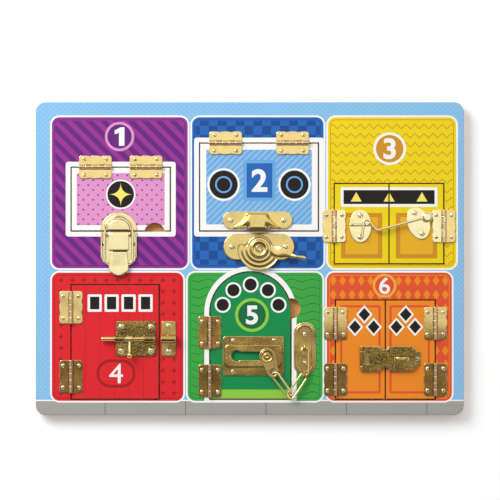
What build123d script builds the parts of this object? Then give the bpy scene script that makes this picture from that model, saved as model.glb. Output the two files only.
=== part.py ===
from build123d import *
import os
from math import atan2, cos, radians, sin

# A wooden busy board: a flat board with eight little doors in six openings,
# each held by a different brass latch. It lies on its back: +Z is the front,
# +Y is the top of the board as a child sees it, and the origin is the middle
# of the back face. All sizes are millimetres.

os.makedirs("parts", exist_ok=True)

# ---------------------------------------------------------------- the board
corner_radius = 9.0
backing_thickness = 3.0
face_thickness = 9.0
edge_round = 0.8
door_gap = 1.2          # saw cut round each door
door_lift = 0.4         # running space between a door and the backing
door_edge_round = 0.35
meeting_bevel_width, meeting_bevel_depth = 0.9, 7.5     # where the two doors of a pair meet
top = backing_thickness + face_thickness

# Openings in the face board, and the wood left between and round them. The
# three upper openings set the board's length, the middle two its height.
door_1_width, door_1_height = 92.5, 60.0
door_2_width, door_2_height = 110.6, 82.2
door_3_width, door_3_height = 102.1, 75.2
door_4_width, door_4_height = 82.6, 106.8
door_5_width, door_5_height = 76.0, 118.6
door_6_width, door_6_height = 93.1, 92.6
left_margin, right_margin, top_margin, bottom_margin = 32.1, 17.7, 37.2, 13.8
post_12, post_23, middle_rail = 25.7, 13.3, 36.2
door_3_drop = 30.2      # door 3 starts this far below doors 1 and 2
door_4_shift, door_5_shift, door_6_shift = -5.05, -7.9, -3.4    # from the middle of the door above

board_length = left_margin + door_1_width + post_12 + door_2_width + post_23 + door_3_width + right_margin
board_height = bottom_margin + door_5_height + middle_rail + door_2_height + top_margin
door_1_left = left_margin - board_length / 2
door_2_left = door_1_left + door_1_width + post_12
door_3_left = door_2_left + door_2_width + post_23
door_4_left = door_1_left + (door_1_width - door_4_width) / 2 + door_4_shift
door_5_left = door_2_left + (door_2_width - door_5_width) / 2 + door_5_shift
door_6_left = door_3_left + (door_3_width - door_6_width) / 2 + door_6_shift
door_4_bottom = door_5_bottom = door_6_bottom = bottom_margin - board_height / 2
door_1_bottom = door_2_bottom = door_5_bottom + door_5_height + middle_rail
door_3_bottom = door_1_bottom - door_3_drop

# Finger notches: one in the lower edge of door 1, one in the frame of door 5.
notch_radius = 9.4
notch_1_inset, notch_1_drop = 15.0, 2.4      # from the opening's right side and bottom
notch_5_inset, notch_5_rise = 1.2, 3.6      # from the opening's right side and the arch's springing
notch_1_x = door_1_left + door_1_width - notch_1_inset
notch_5_x = door_5_left + door_5_width - notch_5_inset
notch_5_y = door_5_bottom + door_5_height - door_5_width / 2 + notch_5_rise

# ------------------------------------------------------------------ hinges
hinge_length = 30.0
leaf_width = 10.6       # pin line to outer edge
leaf_thickness = 0.9
leaf_corner = 2.6
scallop_radius = 6.0
scallop_depth = 0.6
scallop_offset = 5.2
barrel_radius = 1.8
pin_radius = 0.8
pin_fit = 0.06
knuckle_count = 5
knuckle_gap = 0.25
leaf_screw_x = (-10.1, 10.1)
leaf_screw_out = 7.3
hinge_1_spacing = 46.6
hinge_2_spacing = 61.6
hinge_3_drop = 2.3      # single hinges sit this far below the door's middle
hinge_4_spacing = 63.5
hinge_5_spacing, hinge_5_drop = 44.5, 19.4
hinge_6_spacing, hinge_6_drop = 51.6, 1.6

# Where the doors part and turn: middles across, pin lines on top, hinge middles up the sides.
half_gap = door_gap / 2
mid_1 = door_1_left + door_1_width / 2
mid_2 = door_2_left + door_2_width / 2
split_3 = door_3_left + door_3_width / 2
split_6 = door_6_left + door_6_width / 2
line_1 = door_1_bottom + door_1_height - half_gap
line_2 = door_2_bottom + door_2_height - half_gap
mid_3 = door_3_bottom + door_3_height / 2 - hinge_3_drop
mid_4 = door_4_bottom + door_4_height / 2
mid_5 = door_5_bottom + door_5_height / 2 - hinge_5_drop
mid_6 = door_6_bottom + door_6_height / 2 - hinge_6_drop
door_4_right = door_4_left + door_4_width
door_5_right = door_5_left + door_5_width
leaf_reach_left = half_gap + leaf_width     # how far a door's own leaf comes in from the opening's side

# ------------------------------------------------------------------ screws
small_head, small_shank, small_dome = 1.95, 1.0, 1.0
large_head, large_shank, large_dome = 2.8, 1.3, 1.3
screw_length = 6.5
screw_point = 1.2
screw_fit = 0.05
recess_width = 0.7
recess_depth = 0.8
recess_share = 1.15     # cross recess length over head radius
socket_share = 0.38     # radius of the cross recess's round middle over head radius

# --------------------------------------------------- latch 1: draw latch
draw_x = mid_1 - 1.75
strike_radius = 17.0
strike_thickness = 1.2
strike_bevel = 0.7
catch_radius = 10.3
catch_height = 5.2
catch_round = 0.9
prong_radius, prong_length, prong_spacing = 1.2, 5.0, 18.0
bail_radius = 1.1
bail_half_width = 12.65
bail_reach = 30.0       # bail pivot to the middle of its arch
bail_height = 3.3
bail_bend = 2.2
bail_end_in = 6.2
bail_pivot_y = door_1_bottom - 28.4
draw_base_width, draw_base_bottom = 32.8, door_1_bottom - 31.2
draw_base_thickness, draw_rim_height, draw_rim_width = 1.0, 2.4, 1.1
draw_base_corner = 9.5
draw_pivot_y, draw_pivot_height = door_1_bottom - 2.4, 3.8
draw_seam = 0.3         # between the base and the opening
draw_pin_radius = 1.0
ear_thickness, ear_length, ear_gap = 1.2, 4.6, 0.25
lever_width, tongue_width = 18.8, 17.0
lever_barrel_radius = 2.5
cover_thickness, cover_height, cover_end_y = 1.7, 6.3, draw_pivot_y - 14.0
tongue_thickness, tongue_height, tongue_tip_y = 1.5, 5.0, draw_pivot_y - 37.8
lug_length, lug_width, lug_bottom = 5.4, 2.4, 1.5
draw_screw_x, draw_screw_y = 13.2, door_1_bottom - 11.3

# --------------------------------------------------- latch 2: sash lock
keeper_x, keeper_y = mid_2 - 1.5, door_2_bottom + 10.6
keeper_length, keeper_width, keeper_thickness = 64.0, 15.8, 1.6
keeper_screw_spacing = 49.1
hood_back_width, hood_front_width, hood_back = 25.0, 34.0, 6.2
hood_height, hood_slope = 6.6, 22.0
mouth_width, mouth_height, mouth_depth = 23.0, 5.3, 8.0
lip_width, lip_length, lip_thickness = 14.0, 3.6, 1.3
sash_x, sash_y = mid_2 - 0.2, door_2_bottom - 14.0
sash_length, sash_width, sash_thickness = 65.4, 24.0, 2.2
sash_screw_spacing = 49.8
cam_x, cam_y = sash_x + 0.4, sash_y - 1.5
cam_bottom, cam_thickness = 2.7, 2.0
cam_disc_radius = 12.6
crescent_radius, crescent_shift, crescent_cut = 19.4, 0.9, -15.0
hub_radius, hub_height = 7.4, 2.0
hub_dish_radius, hub_dish_depth = 5.4, 0.7
groove_radius, groove_width, groove_depth = 9.8, 1.0, 0.5
lever_root_radius, lever_length, lever_angle = 10.4, 44.4, -10.0
lever_root_width, lever_neck_width, lever_tip_width = 9.2, 7.0, 3.2
lever_neck_start, lever_neck_end = 22.0, 30.0
sash_lever_thickness = 2.4
thumb_length, thumb_rise = 15.0, 2.2
rivet_radius, rivet_bore, rivet_bore_depth = 3.2, 2.2, 3.0
rivet_fit = 0.08
rivet_proud = 0.5
stop_pin_radius, stop_pin_height = 0.9, 2.2
stop_pin_x, stop_pin_y = 13.9, 1.6

# --------------------------------------------------- latch 3: hook and eye
hook_plate_width, hook_plate_height, hook_plate_thickness = 20.7, 30.4, 1.0
hook_plate_screw_spacing = 20.0
hook_plate_inset = 24.3     # pin line of a door's hinge to the middle of its plate
eye_plate_x, eye_plate_y = door_3_left + half_gap + hook_plate_inset - 0.3, mid_3
eye_flange_y, eye_flange_thickness, eye_flange_height = 1.1, 1.4, 7.2
eye_flange_width, eye_flange_top_width = 19.6, 13.0
eye_slot_x, eye_slot_width, eye_slot_floor = eye_plate_x + 1.3, 7.3, 3.1
swivel_plate_x, swivel_plate_y = door_3_left + door_3_width - half_gap - hook_plate_inset + 0.9, mid_3 + 2.6
swivel_plate_tilt = 20.0
stud_x, stud_y = swivel_plate_x + 7.7, swivel_plate_y + 5.8
stud_radius, stud_cap_radius, stud_cap_thickness, stud_ear_radius = 1.9, 3.4, 1.1, 4.4
hook_radius, hook_height = 1.2, 4.6
hook_ring_radius = 3.9
hook_low_bend = (eye_slot_x + 13.5, eye_plate_y - 4.1)
hook_crest = (eye_slot_x + 2.3, eye_plate_y + 9.7)
hook_tip = (eye_slot_x + 0.3, eye_plate_y - 10.0)
hook_low_radius, hook_crest_radius = 4.0, 2.6
hook_cap_clearance = 0.4

# --------------------------------------------------- latch 4: barrel bolt
bolt_plate_x, bolt_plate_y = door_4_right - 22.1, mid_4 + 3.0
bolt_plate_width, bolt_plate_height, bolt_plate_thickness = 36.8, 32.6, 1.2
bolt_plate_corner = 3.0
bolt_screw_along, bolt_screw_across = 13.6, 11.0
rod_radius, rod_fit = 2.1, 0.1
rod_left, rod_right = door_4_right - 53.9, door_4_right - 4.4
rod_height = 4.6
sleeve_wall, sleeve_length = 1.3, 9.2
sleeve_left_x, sleeve_right_x = bolt_plate_x - 15.1, bolt_plate_x + 12.1
sleeve_foot = 3.6
knob_x, knob_collar_length, knob_collar_wall = bolt_plate_x - 5.6, 5.2, 1.1
knob_reach, knob_tilt, knob_stem_radius, knob_ball_radius = 15.4, 12.0, 1.5, 2.9
strike_4_x, strike_4_width, strike_4_height = door_4_right + 7.8, 13.4, 32.6
strike_4_corner, strike_4_screw_spacing = 2.4, 23.4
socket_clearance = 0.45

# --------------------------------------------------- latch 5: door chain
track_left = door_5_left + leaf_reach_left + 1.3
track_right = door_5_right - 7.1
track_x, track_y = (track_left + track_right) / 2, mid_5 + 0.8
track_width, track_height, track_thickness, track_corner = track_right - track_left, 35.9, 1.0, 3.0
track_screw_along, track_screw_across = track_width / 2 - 9.5, 14.2
channel_width, channel_height, channel_corner = track_width - 2.8, 21.4, 5.0
channel_rise, channel_roof, channel_wall, channel_round = 3.4, 1.0, 1.4, 1.1
slot_width, slot_left, slot_right = 8.0, track_left + 12.9, track_right - 15.8
entry_radius = 5.1
slider_fit = 0.35
slider_flange_thickness, slider_flange_bottom = 1.0, 0.8
button_radius, button_thickness, button_round = 5.8, 1.6, 0.6
button_boss_radius, button_boss_height = 2.3, 0.8
chain_plane = 5.8       # height of the chain's middle above the board
hanger_thickness, hanger_fit = 1.2, 0.2
hanger_top_radius, hanger_ring_radius, hanger_ring_hole = 7.0, 5.0, 3.0
hanger_dx, hanger_dy = 5.6, -15.0
link_radius, link_half_width, link_length = 0.9, 3.3, 26.0
link_play, link_seat = 0.5, 0.9
link_a_angle, link_a_roll, link_a_drop = -53.0, 70.0, 0.0
link_b_angle, link_b_roll, link_b_drop = 56.2, 5.0, 2.2
anchor_x, anchor_y = door_5_right + 12.0, mid_5 + 7.3
anchor_width, anchor_height, anchor_thickness = 20.2, 48.7, 0.6
anchor_rim_inset, anchor_rim_width, anchor_rim_height = 1.8, 2.0, 1.1
anchor_screw_y, anchor_low_screw_y = anchor_y + 13.4, anchor_y - 13.0
anchor_eye_y = anchor_y + 1.0
anchor_eye_radius, anchor_eye_height = 2.3, 2.7
link_c_height = 2.6

# --------------------------------------------------- latch 6: hasp and staple
hasp_x, hasp_y = split_6 - 21.75, mid_6 - 6.5
hasp_length, hasp_width = 49.7, 22.1
strap_thickness, strap_height = 1.2, 2.3
strap_chamfer = 3.6
strap_notch_x, strap_notch_radius, strap_notch_depth = hasp_x + 19.8, 5.4, 3.3
strap_window_x, strap_window_width, strap_window_height = hasp_x + 4.1, 4.4, 10.0
hasp_barrel_radius, hasp_pin_radius, hasp_axis_height = 1.9, 0.9, 1.95
hasp_knuckle_gap = 0.3
hasp_middle_share = 0.6
hasp_leaf_thickness, hasp_leaf_length = 1.0, 18.0
hasp_screw_x, hasp_screw_across = hasp_x + 13.3, 6.4
staple_x, staple_y = hasp_x + 36.1, hasp_y - 0.3
staple_slot_back, staple_slot_front, staple_slot_width = 8.8, 9.2, 7.6
staple_plate_seam, staple_plate_height = 2.4, 13.2
staple_plate_right = door_6_left + door_6_width - leaf_reach_left - 3.2
staple_screw_x_left, staple_screw_x_right = staple_x - 11.2, staple_plate_right - 3.0
neck_radius, neck_fit = 2.2, 0.1
staple_base, staple_root = 4.1, 0.2
staple_half_width, staple_thickness, staple_rise = 7.0, 3.8, 5.4
staple_eye_radius, staple_eye_height = 1.5, 2.6


# ================================================================== helpers
def along_x(x, y, z):
    """A place whose own Z points along the board's X."""
    return Location((x, y, z), (0, 90, 0))


def along_y(x, y, z):
    """A place whose own Z points along the board's Y."""
    return Location((x, y, z), (-90, 0, 0))


def turned(spot, x, y):
    """A point of a hinge's own frame, carried to the board by spot = (x, y, angle)."""
    angle = radians(spot[2])
    return (spot[0] + x * cos(angle) - y * sin(angle), spot[1] + x * sin(angle) + y * cos(angle))


def make_screw(head, shank, dome):
    """A domed cross-head screw that stands point down with its head on Z = 0."""
    ball = (head**2 + dome**2) / (2 * dome)
    shoulder = (head / 2, (ball**2 - head**2 / 4) ** 0.5 - ball + dome)
    with BuildPart() as screw:
        with BuildSketch(Plane.XZ):
            with BuildLine():
                point_end = (shank, screw_point - screw_length)
                Polyline((0, dome), (0, -screw_length), point_end, (shank, 0), (head, 0))
                ThreePointArc((head, 0), shoulder, (0, dome))
            make_face()
        revolve(axis=Axis.Z)
        with BuildSketch(Plane.XY.offset(dome)):
            Rectangle(head * recess_share, recess_width)
            Rectangle(recess_width, head * recess_share)
            Circle(head * socket_share)
        extrude(amount=-recess_depth, mode=Mode.SUBTRACT)
    return screw.part


def screw_places(spots, height):
    """Screw places at the named spots, with their heads seated at that height above the face."""
    return [(x, y, top + height) for x, y in spots]


small_screw = make_screw(small_head, small_shank, small_dome)
large_screw = make_screw(large_head, large_shank, large_dome)

# ============================================================ hinge layout
# A spot is the middle of a hinge's pin line and the turn of its frame. The
# frame's own +Y is the side screwed to the face board, -Y the side on the door.

def pair_on_top(x, y, spacing):
    """Two hinges side by side along a top edge."""
    return [(x - spacing / 2, y, 0), (x + spacing / 2, y, 0)]


def pair_on_side(x, y, spacing, angle):
    """Two hinges one above the other along a side edge."""
    return [(x, y + spacing / 2, angle), (x, y - spacing / 2, angle)]


hinge_spots = {
    "door_1": pair_on_top(mid_1, line_1, hinge_1_spacing),
    "door_2": pair_on_top(mid_2, line_2, hinge_2_spacing),
    "door_3_left": [(door_3_left + half_gap, mid_3, 90)],
    "door_3_right": [(door_3_left + door_3_width - half_gap, mid_3, -90)],
    "door_4": pair_on_side(door_4_left + half_gap, mid_4, hinge_4_spacing, 90),
    "door_5": pair_on_side(door_5_left + half_gap, mid_5, hinge_5_spacing, 90),
    "door_6_left": pair_on_side(door_6_left + half_gap, mid_6, hinge_6_spacing, 90),
    "door_6_right": pair_on_side(door_6_left + door_6_width - half_gap, mid_6, hinge_6_spacing, -90),
}
all_hinge_spots = [spot for spots in hinge_spots.values() for spot in spots]


def leaf_screw_spots(spots, side):
    """Both screws of every leaf on one side of the named hinges."""
    return [turned(spot, x, side * leaf_screw_out) for spot in spots for x in leaf_screw_x]


# Screws of the latch plates, on the door or on the face board that carries them.
draw_base_spots = [(draw_x - draw_screw_x, draw_screw_y), (draw_x + draw_screw_x, draw_screw_y)]
keeper_spots = [(keeper_x + side * keeper_screw_spacing / 2, keeper_y) for side in (-1, 1)]
sash_spots = [(sash_x + side * sash_screw_spacing / 2, sash_y) for side in (-1, 1)]
eye_plate_spots = [(eye_plate_x, eye_plate_y + side * hook_plate_screw_spacing / 2) for side in (-1, 1)]
swivel_plate_spots = [
    turned((swivel_plate_x, swivel_plate_y, swivel_plate_tilt), 0, side * hook_plate_screw_spacing / 2)
    for side in (-1, 1)
]
bolt_spots = [
    (bolt_plate_x + along * bolt_screw_along, bolt_plate_y + across * bolt_screw_across)
    for along in (-1, 1)
    for across in (-1, 1)
]
strike_4_spots = [(strike_4_x, bolt_plate_y + side * strike_4_screw_spacing / 2) for side in (-1, 1)]
track_spots = [
    (track_x + along * track_screw_along, track_y + across * track_screw_across)
    for along in (-1, 1)
    for across in (-1, 1)
]
anchor_spots = [(anchor_x, anchor_screw_y), (anchor_x, anchor_low_screw_y)]
hasp_leaf_spots = [(hasp_screw_x, hasp_y + side * hasp_screw_across) for side in (-1, 1)]
staple_plate_spots = [(staple_screw_x_left, staple_y), (staple_screw_x_right, staple_y)]

# ============================================================ wooden pieces
with BuildPart() as backing_board:
    with BuildSketch():
        RectangleRounded(board_length, board_height, corner_radius)
    extrude(amount=backing_thickness)
    fillet(backing_board.faces().sort_by(Axis.Z)[0].edges(), edge_round / 2)

backing_board.part.label = "backing_board"
export_step(backing_board.part, "parts/backing_board.step")


def rectangle_from(left, bottom, width, height, inset=0.0):
    """A rectangle given by its lower left corner, drawn in by inset all round."""
    with Locations((left + width / 2, bottom + height / 2)):
        Rectangle(width - 2 * inset, height - 2 * inset)


def arch_from(left, bottom, width, height, inset=0.0):
    """A round-topped opening: a rectangle up to the springing and a half circle over it."""
    radius = width / 2
    straight = height - radius
    with Locations((left + radius, bottom + straight / 2 + inset / 2)):
        Rectangle(width - 2 * inset, straight - inset)
    with Locations((left + radius, bottom + straight)):
        Circle(radius - inset)


frame_small_spots = leaf_screw_spots(all_hinge_spots, 1)
frame_large_spots = sash_spots + strike_4_spots
frame_latch_small_spots = draw_base_spots + anchor_spots

with BuildPart() as face_board:
    with BuildSketch(Plane.XY.offset(backing_thickness)):
        RectangleRounded(board_length, board_height, corner_radius)
    extrude(amount=face_thickness)
    fillet(face_board.faces().sort_by(Axis.Z)[-1].edges(), edge_round)
    with BuildSketch(Plane.XY.offset(backing_thickness)):
        rectangle_from(door_1_left, door_1_bottom, door_1_width, door_1_height)
        rectangle_from(door_2_left, door_2_bottom, door_2_width, door_2_height)
        rectangle_from(door_3_left, door_3_bottom, door_3_width, door_3_height)
        rectangle_from(door_4_left, door_4_bottom, door_4_width, door_4_height)
        arch_from(door_5_left, door_5_bottom, door_5_width, door_5_height)
        rectangle_from(door_6_left, door_6_bottom, door_6_width, door_6_height)
        with Locations((notch_5_x, notch_5_y)):
            Circle(notch_radius)
    extrude(amount=face_thickness, mode=Mode.SUBTRACT)
    with Locations(*[(x, y, top) for x, y in frame_small_spots + frame_latch_small_spots]):
        Hole(small_shank + screw_fit, screw_length)
    with Locations(*[(x, y, top) for x, y in frame_large_spots]):
        Hole(large_shank + screw_fit, screw_length)

face_board.part.label = "face_board"
export_step(face_board.part, "parts/face_board.step")

half_3 = door_3_width / 2 + half_gap
half_6 = door_6_width / 2 + half_gap
door_blanks = {
    "door_1": (door_1_left, door_1_bottom, door_1_width, door_1_height),
    "door_2": (door_2_left, door_2_bottom, door_2_width, door_2_height),
    "door_3_left": (door_3_left, door_3_bottom, half_3, door_3_height),
    "door_3_right": (split_3 - half_gap, door_3_bottom, half_3, door_3_height),
    "door_4": (door_4_left, door_4_bottom, door_4_width, door_4_height),
    "door_5": (door_5_left, door_5_bottom, door_5_width, door_5_height),
    "door_6_left": (door_6_left, door_6_bottom, half_6, door_6_height),
    "door_6_right": (split_6 - half_gap, door_6_bottom, half_6, door_6_height),
}
door_large_spots = {
    "door_2": keeper_spots,
    "door_3_left": eye_plate_spots,
    "door_3_right": swivel_plate_spots,
    "door_4": bolt_spots,
}
door_latch_small_spots = {
    "door_5": track_spots,
    "door_6_left": hasp_leaf_spots,
    "door_6_right": staple_plate_spots,
}
strike_y = door_1_bottom + door_gap
prong_spots = [(draw_x + side * prong_spacing / 2, strike_y + strike_radius / 2) for side in (-1, 1)]

for name, blank in door_blanks.items():
    with BuildPart() as door:
        with BuildSketch(Plane.XY.offset(backing_thickness + door_lift)):
            if name == "door_5":
                arch_from(*blank, inset=door_gap)
            else:
                rectangle_from(*blank, inset=door_gap)
            if name == "door_1":
                with Locations((notch_1_x, door_1_bottom + door_gap - notch_1_drop)):
                    Circle(notch_radius, mode=Mode.SUBTRACT)
        extrude(amount=face_thickness - door_lift)
        fillet(door.faces().sort_by(Axis.Z)[-1].edges(), door_edge_round)
        if name.endswith(("left", "right")):
            back = door.faces().sort_by(Axis.Z)[0]
            meeting_edge = back.edges().filter_by(Axis.Y).sort_by(Axis.X)[-1 if name.endswith("left") else 0]
            chamfer(meeting_edge, meeting_bevel_width, meeting_bevel_depth, reference=back)
        small_spots = leaf_screw_spots(hinge_spots[name], -1) + door_latch_small_spots.get(name, [])
        with Locations(*[(x, y, top) for x, y in small_spots]):
            Hole(small_shank + screw_fit, screw_length)
        if name in door_large_spots:
            with Locations(*[(x, y, top) for x, y in door_large_spots[name]]):
                Hole(large_shank + screw_fit, screw_length)
        if name == "door_1":
            with Locations(*[(x, y, top) for x, y in prong_spots]):
                Hole(prong_radius + screw_fit, prong_length)
    door.part.label = name
    export_step(door.part, f"parts/{name}.step")

# ================================================================== hinges
knuckle_pitch = hinge_length / knuckle_count
knuckle_room = knuckle_pitch + 2 * knuckle_gap
barrel_height = top + barrel_radius
knuckle_centres = [knuckle_pitch * (i + 0.5) - hinge_length / 2 for i in range(knuckle_count)]


def make_leaf(side, own_first):
    """One hinge leaf in its own frame: plate on the named side, every other knuckle from own_first."""
    own = knuckle_centres[own_first::2]
    other = knuckle_centres[1 - own_first :: 2]
    with BuildPart() as leaf:
        with BuildSketch(Plane.XY.offset(top)) as plate:
            with Locations((0, side * leaf_width / 2)):
                Rectangle(hinge_length, leaf_width)
            fillet(plate.vertices().group_by(Axis.Y)[-1 if side > 0 else 0], leaf_corner)
            scallop_y = side * (leaf_width + scallop_radius - scallop_depth)
            with Locations((-scallop_offset, scallop_y), (scallop_offset, scallop_y)):
                Circle(scallop_radius, mode=Mode.SUBTRACT)
        extrude(amount=leaf_thickness)
        with Locations(*[(x, 0, barrel_height) for x in other]):
            Box(knuckle_room, 2 * (barrel_radius + knuckle_gap), 2 * barrel_radius, mode=Mode.SUBTRACT)
        with Locations(*[along_x(x, 0, barrel_height) for x in own]):
            Cylinder(barrel_radius, knuckle_pitch)
        with Locations(along_x(0, 0, barrel_height)):
            Cylinder(pin_radius + pin_fit, hinge_length, mode=Mode.SUBTRACT)
        with Locations(*[(side_x, side * leaf_screw_out, top + leaf_thickness) for side_x in leaf_screw_x]):
            Hole(small_shank + screw_fit, leaf_thickness)
    return leaf.part


frame_leaf = make_leaf(1, 0)
door_leaf = make_leaf(-1, 1)

with BuildPart() as frame_hinge_leaves:
    with Locations(*[Location((x, y, 0), (0, 0, angle)) for x, y, angle in all_hinge_spots]):
        add(frame_leaf)

frame_hinge_leaves.part.label = "frame_hinge_leaves"
export_step(frame_hinge_leaves.part, "parts/frame_hinge_leaves.step")

for name, spots in hinge_spots.items():
    with BuildPart() as door_hinge_leaves:
        with Locations(*[Location((x, y, 0), (0, 0, angle)) for x, y, angle in spots]):
            add(door_leaf)
    door_hinge_leaves.part.label = f"{name}_hinge_leaves"
    export_step(door_hinge_leaves.part, f"parts/{name}_hinge_leaves.step")

with BuildPart() as hinge_pins:
    for x, y, angle in all_hinge_spots:
        with Locations(Location((x, y, barrel_height), (0, 0, angle)) * Location((0, 0, 0), (0, 90, 0))):
            Cylinder(pin_radius, hinge_length)

hinge_pins.part.label = "hinge_pins"
export_step(hinge_pins.part, "parts/hinge_pins.step")

# ================================================================== screws
with BuildPart() as frame_hinge_screws:
    with Locations(*screw_places(frame_small_spots, leaf_thickness)):
        add(small_screw)

frame_hinge_screws.part.label = "frame_hinge_screws"
export_step(frame_hinge_screws.part, "parts/frame_hinge_screws.step")

with BuildPart() as frame_latch_screws:
    with Locations(*screw_places(draw_base_spots, draw_base_thickness)):
        add(small_screw)
    with Locations(*screw_places(anchor_spots, anchor_thickness)):
        add(small_screw)
    with Locations(*screw_places(sash_spots, sash_thickness)):
        add(large_screw)
    with Locations(*screw_places(strike_4_spots, bolt_plate_thickness)):
        add(large_screw)

frame_latch_screws.part.label = "frame_latch_screws"
export_step(frame_latch_screws.part, "parts/frame_latch_screws.step")

large_seats = {
    "door_2": keeper_thickness,
    "door_3_left": hook_plate_thickness,
    "door_3_right": hook_plate_thickness,
    "door_4": bolt_plate_thickness,
}
small_seats = {
    "door_5": track_thickness,
    "door_6_left": hasp_leaf_thickness,
    "door_6_right": hasp_leaf_thickness,
}

for name, spots in hinge_spots.items():
    with BuildPart() as door_screws:
        with Locations(*screw_places(leaf_screw_spots(spots, -1), leaf_thickness)):
            add(small_screw)
        if name in large_seats:
            with Locations(*screw_places(door_large_spots[name], large_seats[name])):
                add(large_screw)
        if name in small_seats:
            with Locations(*screw_places(door_latch_small_spots[name], small_seats[name])):
                add(small_screw)
    door_screws.part.label = f"{name}_screws"
    export_step(door_screws.part, f"parts/{name}_screws.step")

# ======================================================= latch 1: draw latch
with BuildPart() as draw_latch_strike:
    with BuildSketch(Plane.XY.offset(top)):
        with Locations((draw_x, strike_y)):
            Circle(strike_radius)
        with Locations((draw_x, strike_y - strike_radius / 2)):
            Rectangle(2 * strike_radius, strike_radius, mode=Mode.SUBTRACT)
    extrude(amount=strike_thickness)
    chamfer(draw_latch_strike.faces().sort_by(Axis.Z)[-1].edges().filter_by(GeomType.CIRCLE), strike_bevel)
    with BuildSketch(Plane.XY.offset(top)):
        with Locations((draw_x, strike_y)):
            Circle(catch_radius)
        with Locations((draw_x, strike_y - strike_radius / 2)):
            Rectangle(2 * strike_radius, strike_radius, mode=Mode.SUBTRACT)
    extrude(amount=catch_height)
    fillet(draw_latch_strike.faces().sort_by(Axis.Z)[-1].edges(), catch_round)
    with Locations(*[(x, y, top - prong_length / 2) for x, y in prong_spots]):
        Cylinder(prong_radius, prong_length)

draw_latch_strike.part.label = "draw_latch_strike"
export_step(draw_latch_strike.part, "parts/draw_latch_strike.step")

draw_base_top = door_1_bottom - draw_seam
draw_base_height = draw_base_top - draw_base_bottom
pivot_z = top + draw_pivot_height
ear_x = lever_width / 2 + ear_gap + ear_thickness / 2
pin_length = lever_width + 2 * (ear_gap + ear_thickness)

with BuildPart() as draw_latch_base:
    with BuildSketch(Plane.XY.offset(top)) as base_outline:
        with Locations((draw_x, draw_base_bottom + draw_base_height / 2)):
            Rectangle(draw_base_width, draw_base_height)
        fillet(base_outline.vertices().group_by(Axis.Y)[0], draw_base_corner)
    extrude(amount=draw_rim_height)
    with BuildSketch(Plane.XY.offset(top + draw_base_thickness)):
        with Locations((draw_x, draw_base_bottom + draw_base_height / 2)):
            Rectangle(draw_base_width - 2 * draw_rim_width, draw_base_height)
    extrude(amount=draw_rim_height, mode=Mode.SUBTRACT)
    for side in (-1, 1):
        with Locations((draw_x + side * ear_x, draw_pivot_y, top + pivot_z / 2 - top / 2)):
            Box(ear_thickness, ear_length, pivot_z - top)
        with Locations(along_x(draw_x + side * ear_x, draw_pivot_y, pivot_z)):
            Cylinder(ear_length / 2, ear_thickness)
            Cylinder(draw_pin_radius + screw_fit, ear_thickness, mode=Mode.SUBTRACT)
    with Locations(*screw_places(draw_base_spots, draw_base_thickness)):
        Hole(small_shank + screw_fit, draw_base_thickness)

draw_latch_base.part.label = "draw_latch_base"
export_step(draw_latch_base.part, "parts/draw_latch_base.step")

with BuildPart() as draw_latch_pin:
    with Locations(along_x(draw_x, draw_pivot_y, pivot_z)):
        Cylinder(draw_pin_radius, pin_length)

draw_latch_pin.part.label = "draw_latch_pin"
export_step(draw_latch_pin.part, "parts/draw_latch_pin.step")

bail_z = top + bail_height
tongue_end_radius = tongue_width / 2

with BuildPart() as draw_latch_lever:
    with Locations(along_x(draw_x, draw_pivot_y, pivot_z)):
        Cylinder(lever_barrel_radius, lever_width)
    with BuildSketch(Plane.XY.offset(top + cover_height - cover_thickness)):
        with Locations((draw_x, (cover_end_y + draw_pivot_y) / 2)):
            Rectangle(lever_width, draw_pivot_y - cover_end_y)
    extrude(amount=cover_thickness)
    with BuildSketch(Plane.XY.offset(top + tongue_height - tongue_thickness)):
        tongue_root_y = cover_end_y + tongue_thickness
        tongue_straight = tongue_root_y - tongue_tip_y - tongue_end_radius
        with Locations((draw_x, tongue_root_y - tongue_straight / 2)):
            Rectangle(tongue_width, tongue_straight)
        with Locations((draw_x, tongue_tip_y + tongue_end_radius)):
            Circle(tongue_end_radius)
    extrude(amount=tongue_thickness)
    fillet(draw_latch_lever.faces().sort_by(Axis.Z)[-1].edges().filter_by(Axis.X), cover_thickness / 3)
    with Locations(*[
        (draw_x + side * (tongue_width - lug_width) / 2, bail_pivot_y, top + (lug_bottom + tongue_height) / 2)
        for side in (-1, 1)
    ]):
        Box(lug_width, lug_length, tongue_height - lug_bottom)
    with Locations(along_x(draw_x, bail_pivot_y, bail_z)):
        Cylinder(bail_radius + pin_fit, tongue_width + lug_width, mode=Mode.SUBTRACT)
    with Locations(along_x(draw_x, draw_pivot_y, pivot_z)):
        Cylinder(draw_pin_radius + pin_fit, lever_width, mode=Mode.SUBTRACT)

draw_latch_lever.part.label = "draw_latch_lever"
export_step(draw_latch_lever.part, "parts/draw_latch_lever.step")

with BuildPart() as draw_latch_bail:
    with BuildLine(Plane.XY.offset(bail_z)) as bail_path:
        bend_start = (draw_x - bail_half_width + bail_bend, bail_pivot_y)
        end_in = Line((draw_x - bail_end_in, bail_pivot_y), bend_start)
        bend_up = JernArc(end_in @ 1, end_in % 1, bail_bend, -90)
        leg_up = Line(bend_up @ 1, (draw_x - bail_half_width, bail_pivot_y + bail_reach))
        arch = JernArc(leg_up @ 1, leg_up % 1, bail_half_width, -180)
        leg_down = Line(arch @ 1, (draw_x + bail_half_width, bail_pivot_y + bail_bend))
        bend_in = JernArc(leg_down @ 1, leg_down % 1, bail_bend, -90)
        Line(bend_in @ 1, (draw_x + bail_end_in, bail_pivot_y))
    with BuildSketch(Plane(origin=end_in @ 0, z_dir=end_in % 0)):
        Circle(bail_radius)
    sweep()

draw_latch_bail.part.label = "draw_latch_bail"
export_step(draw_latch_bail.part, "parts/draw_latch_bail.step")

# ======================================================== latch 2: sash lock
mouth_y = keeper_y - keeper_width / 2

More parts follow.
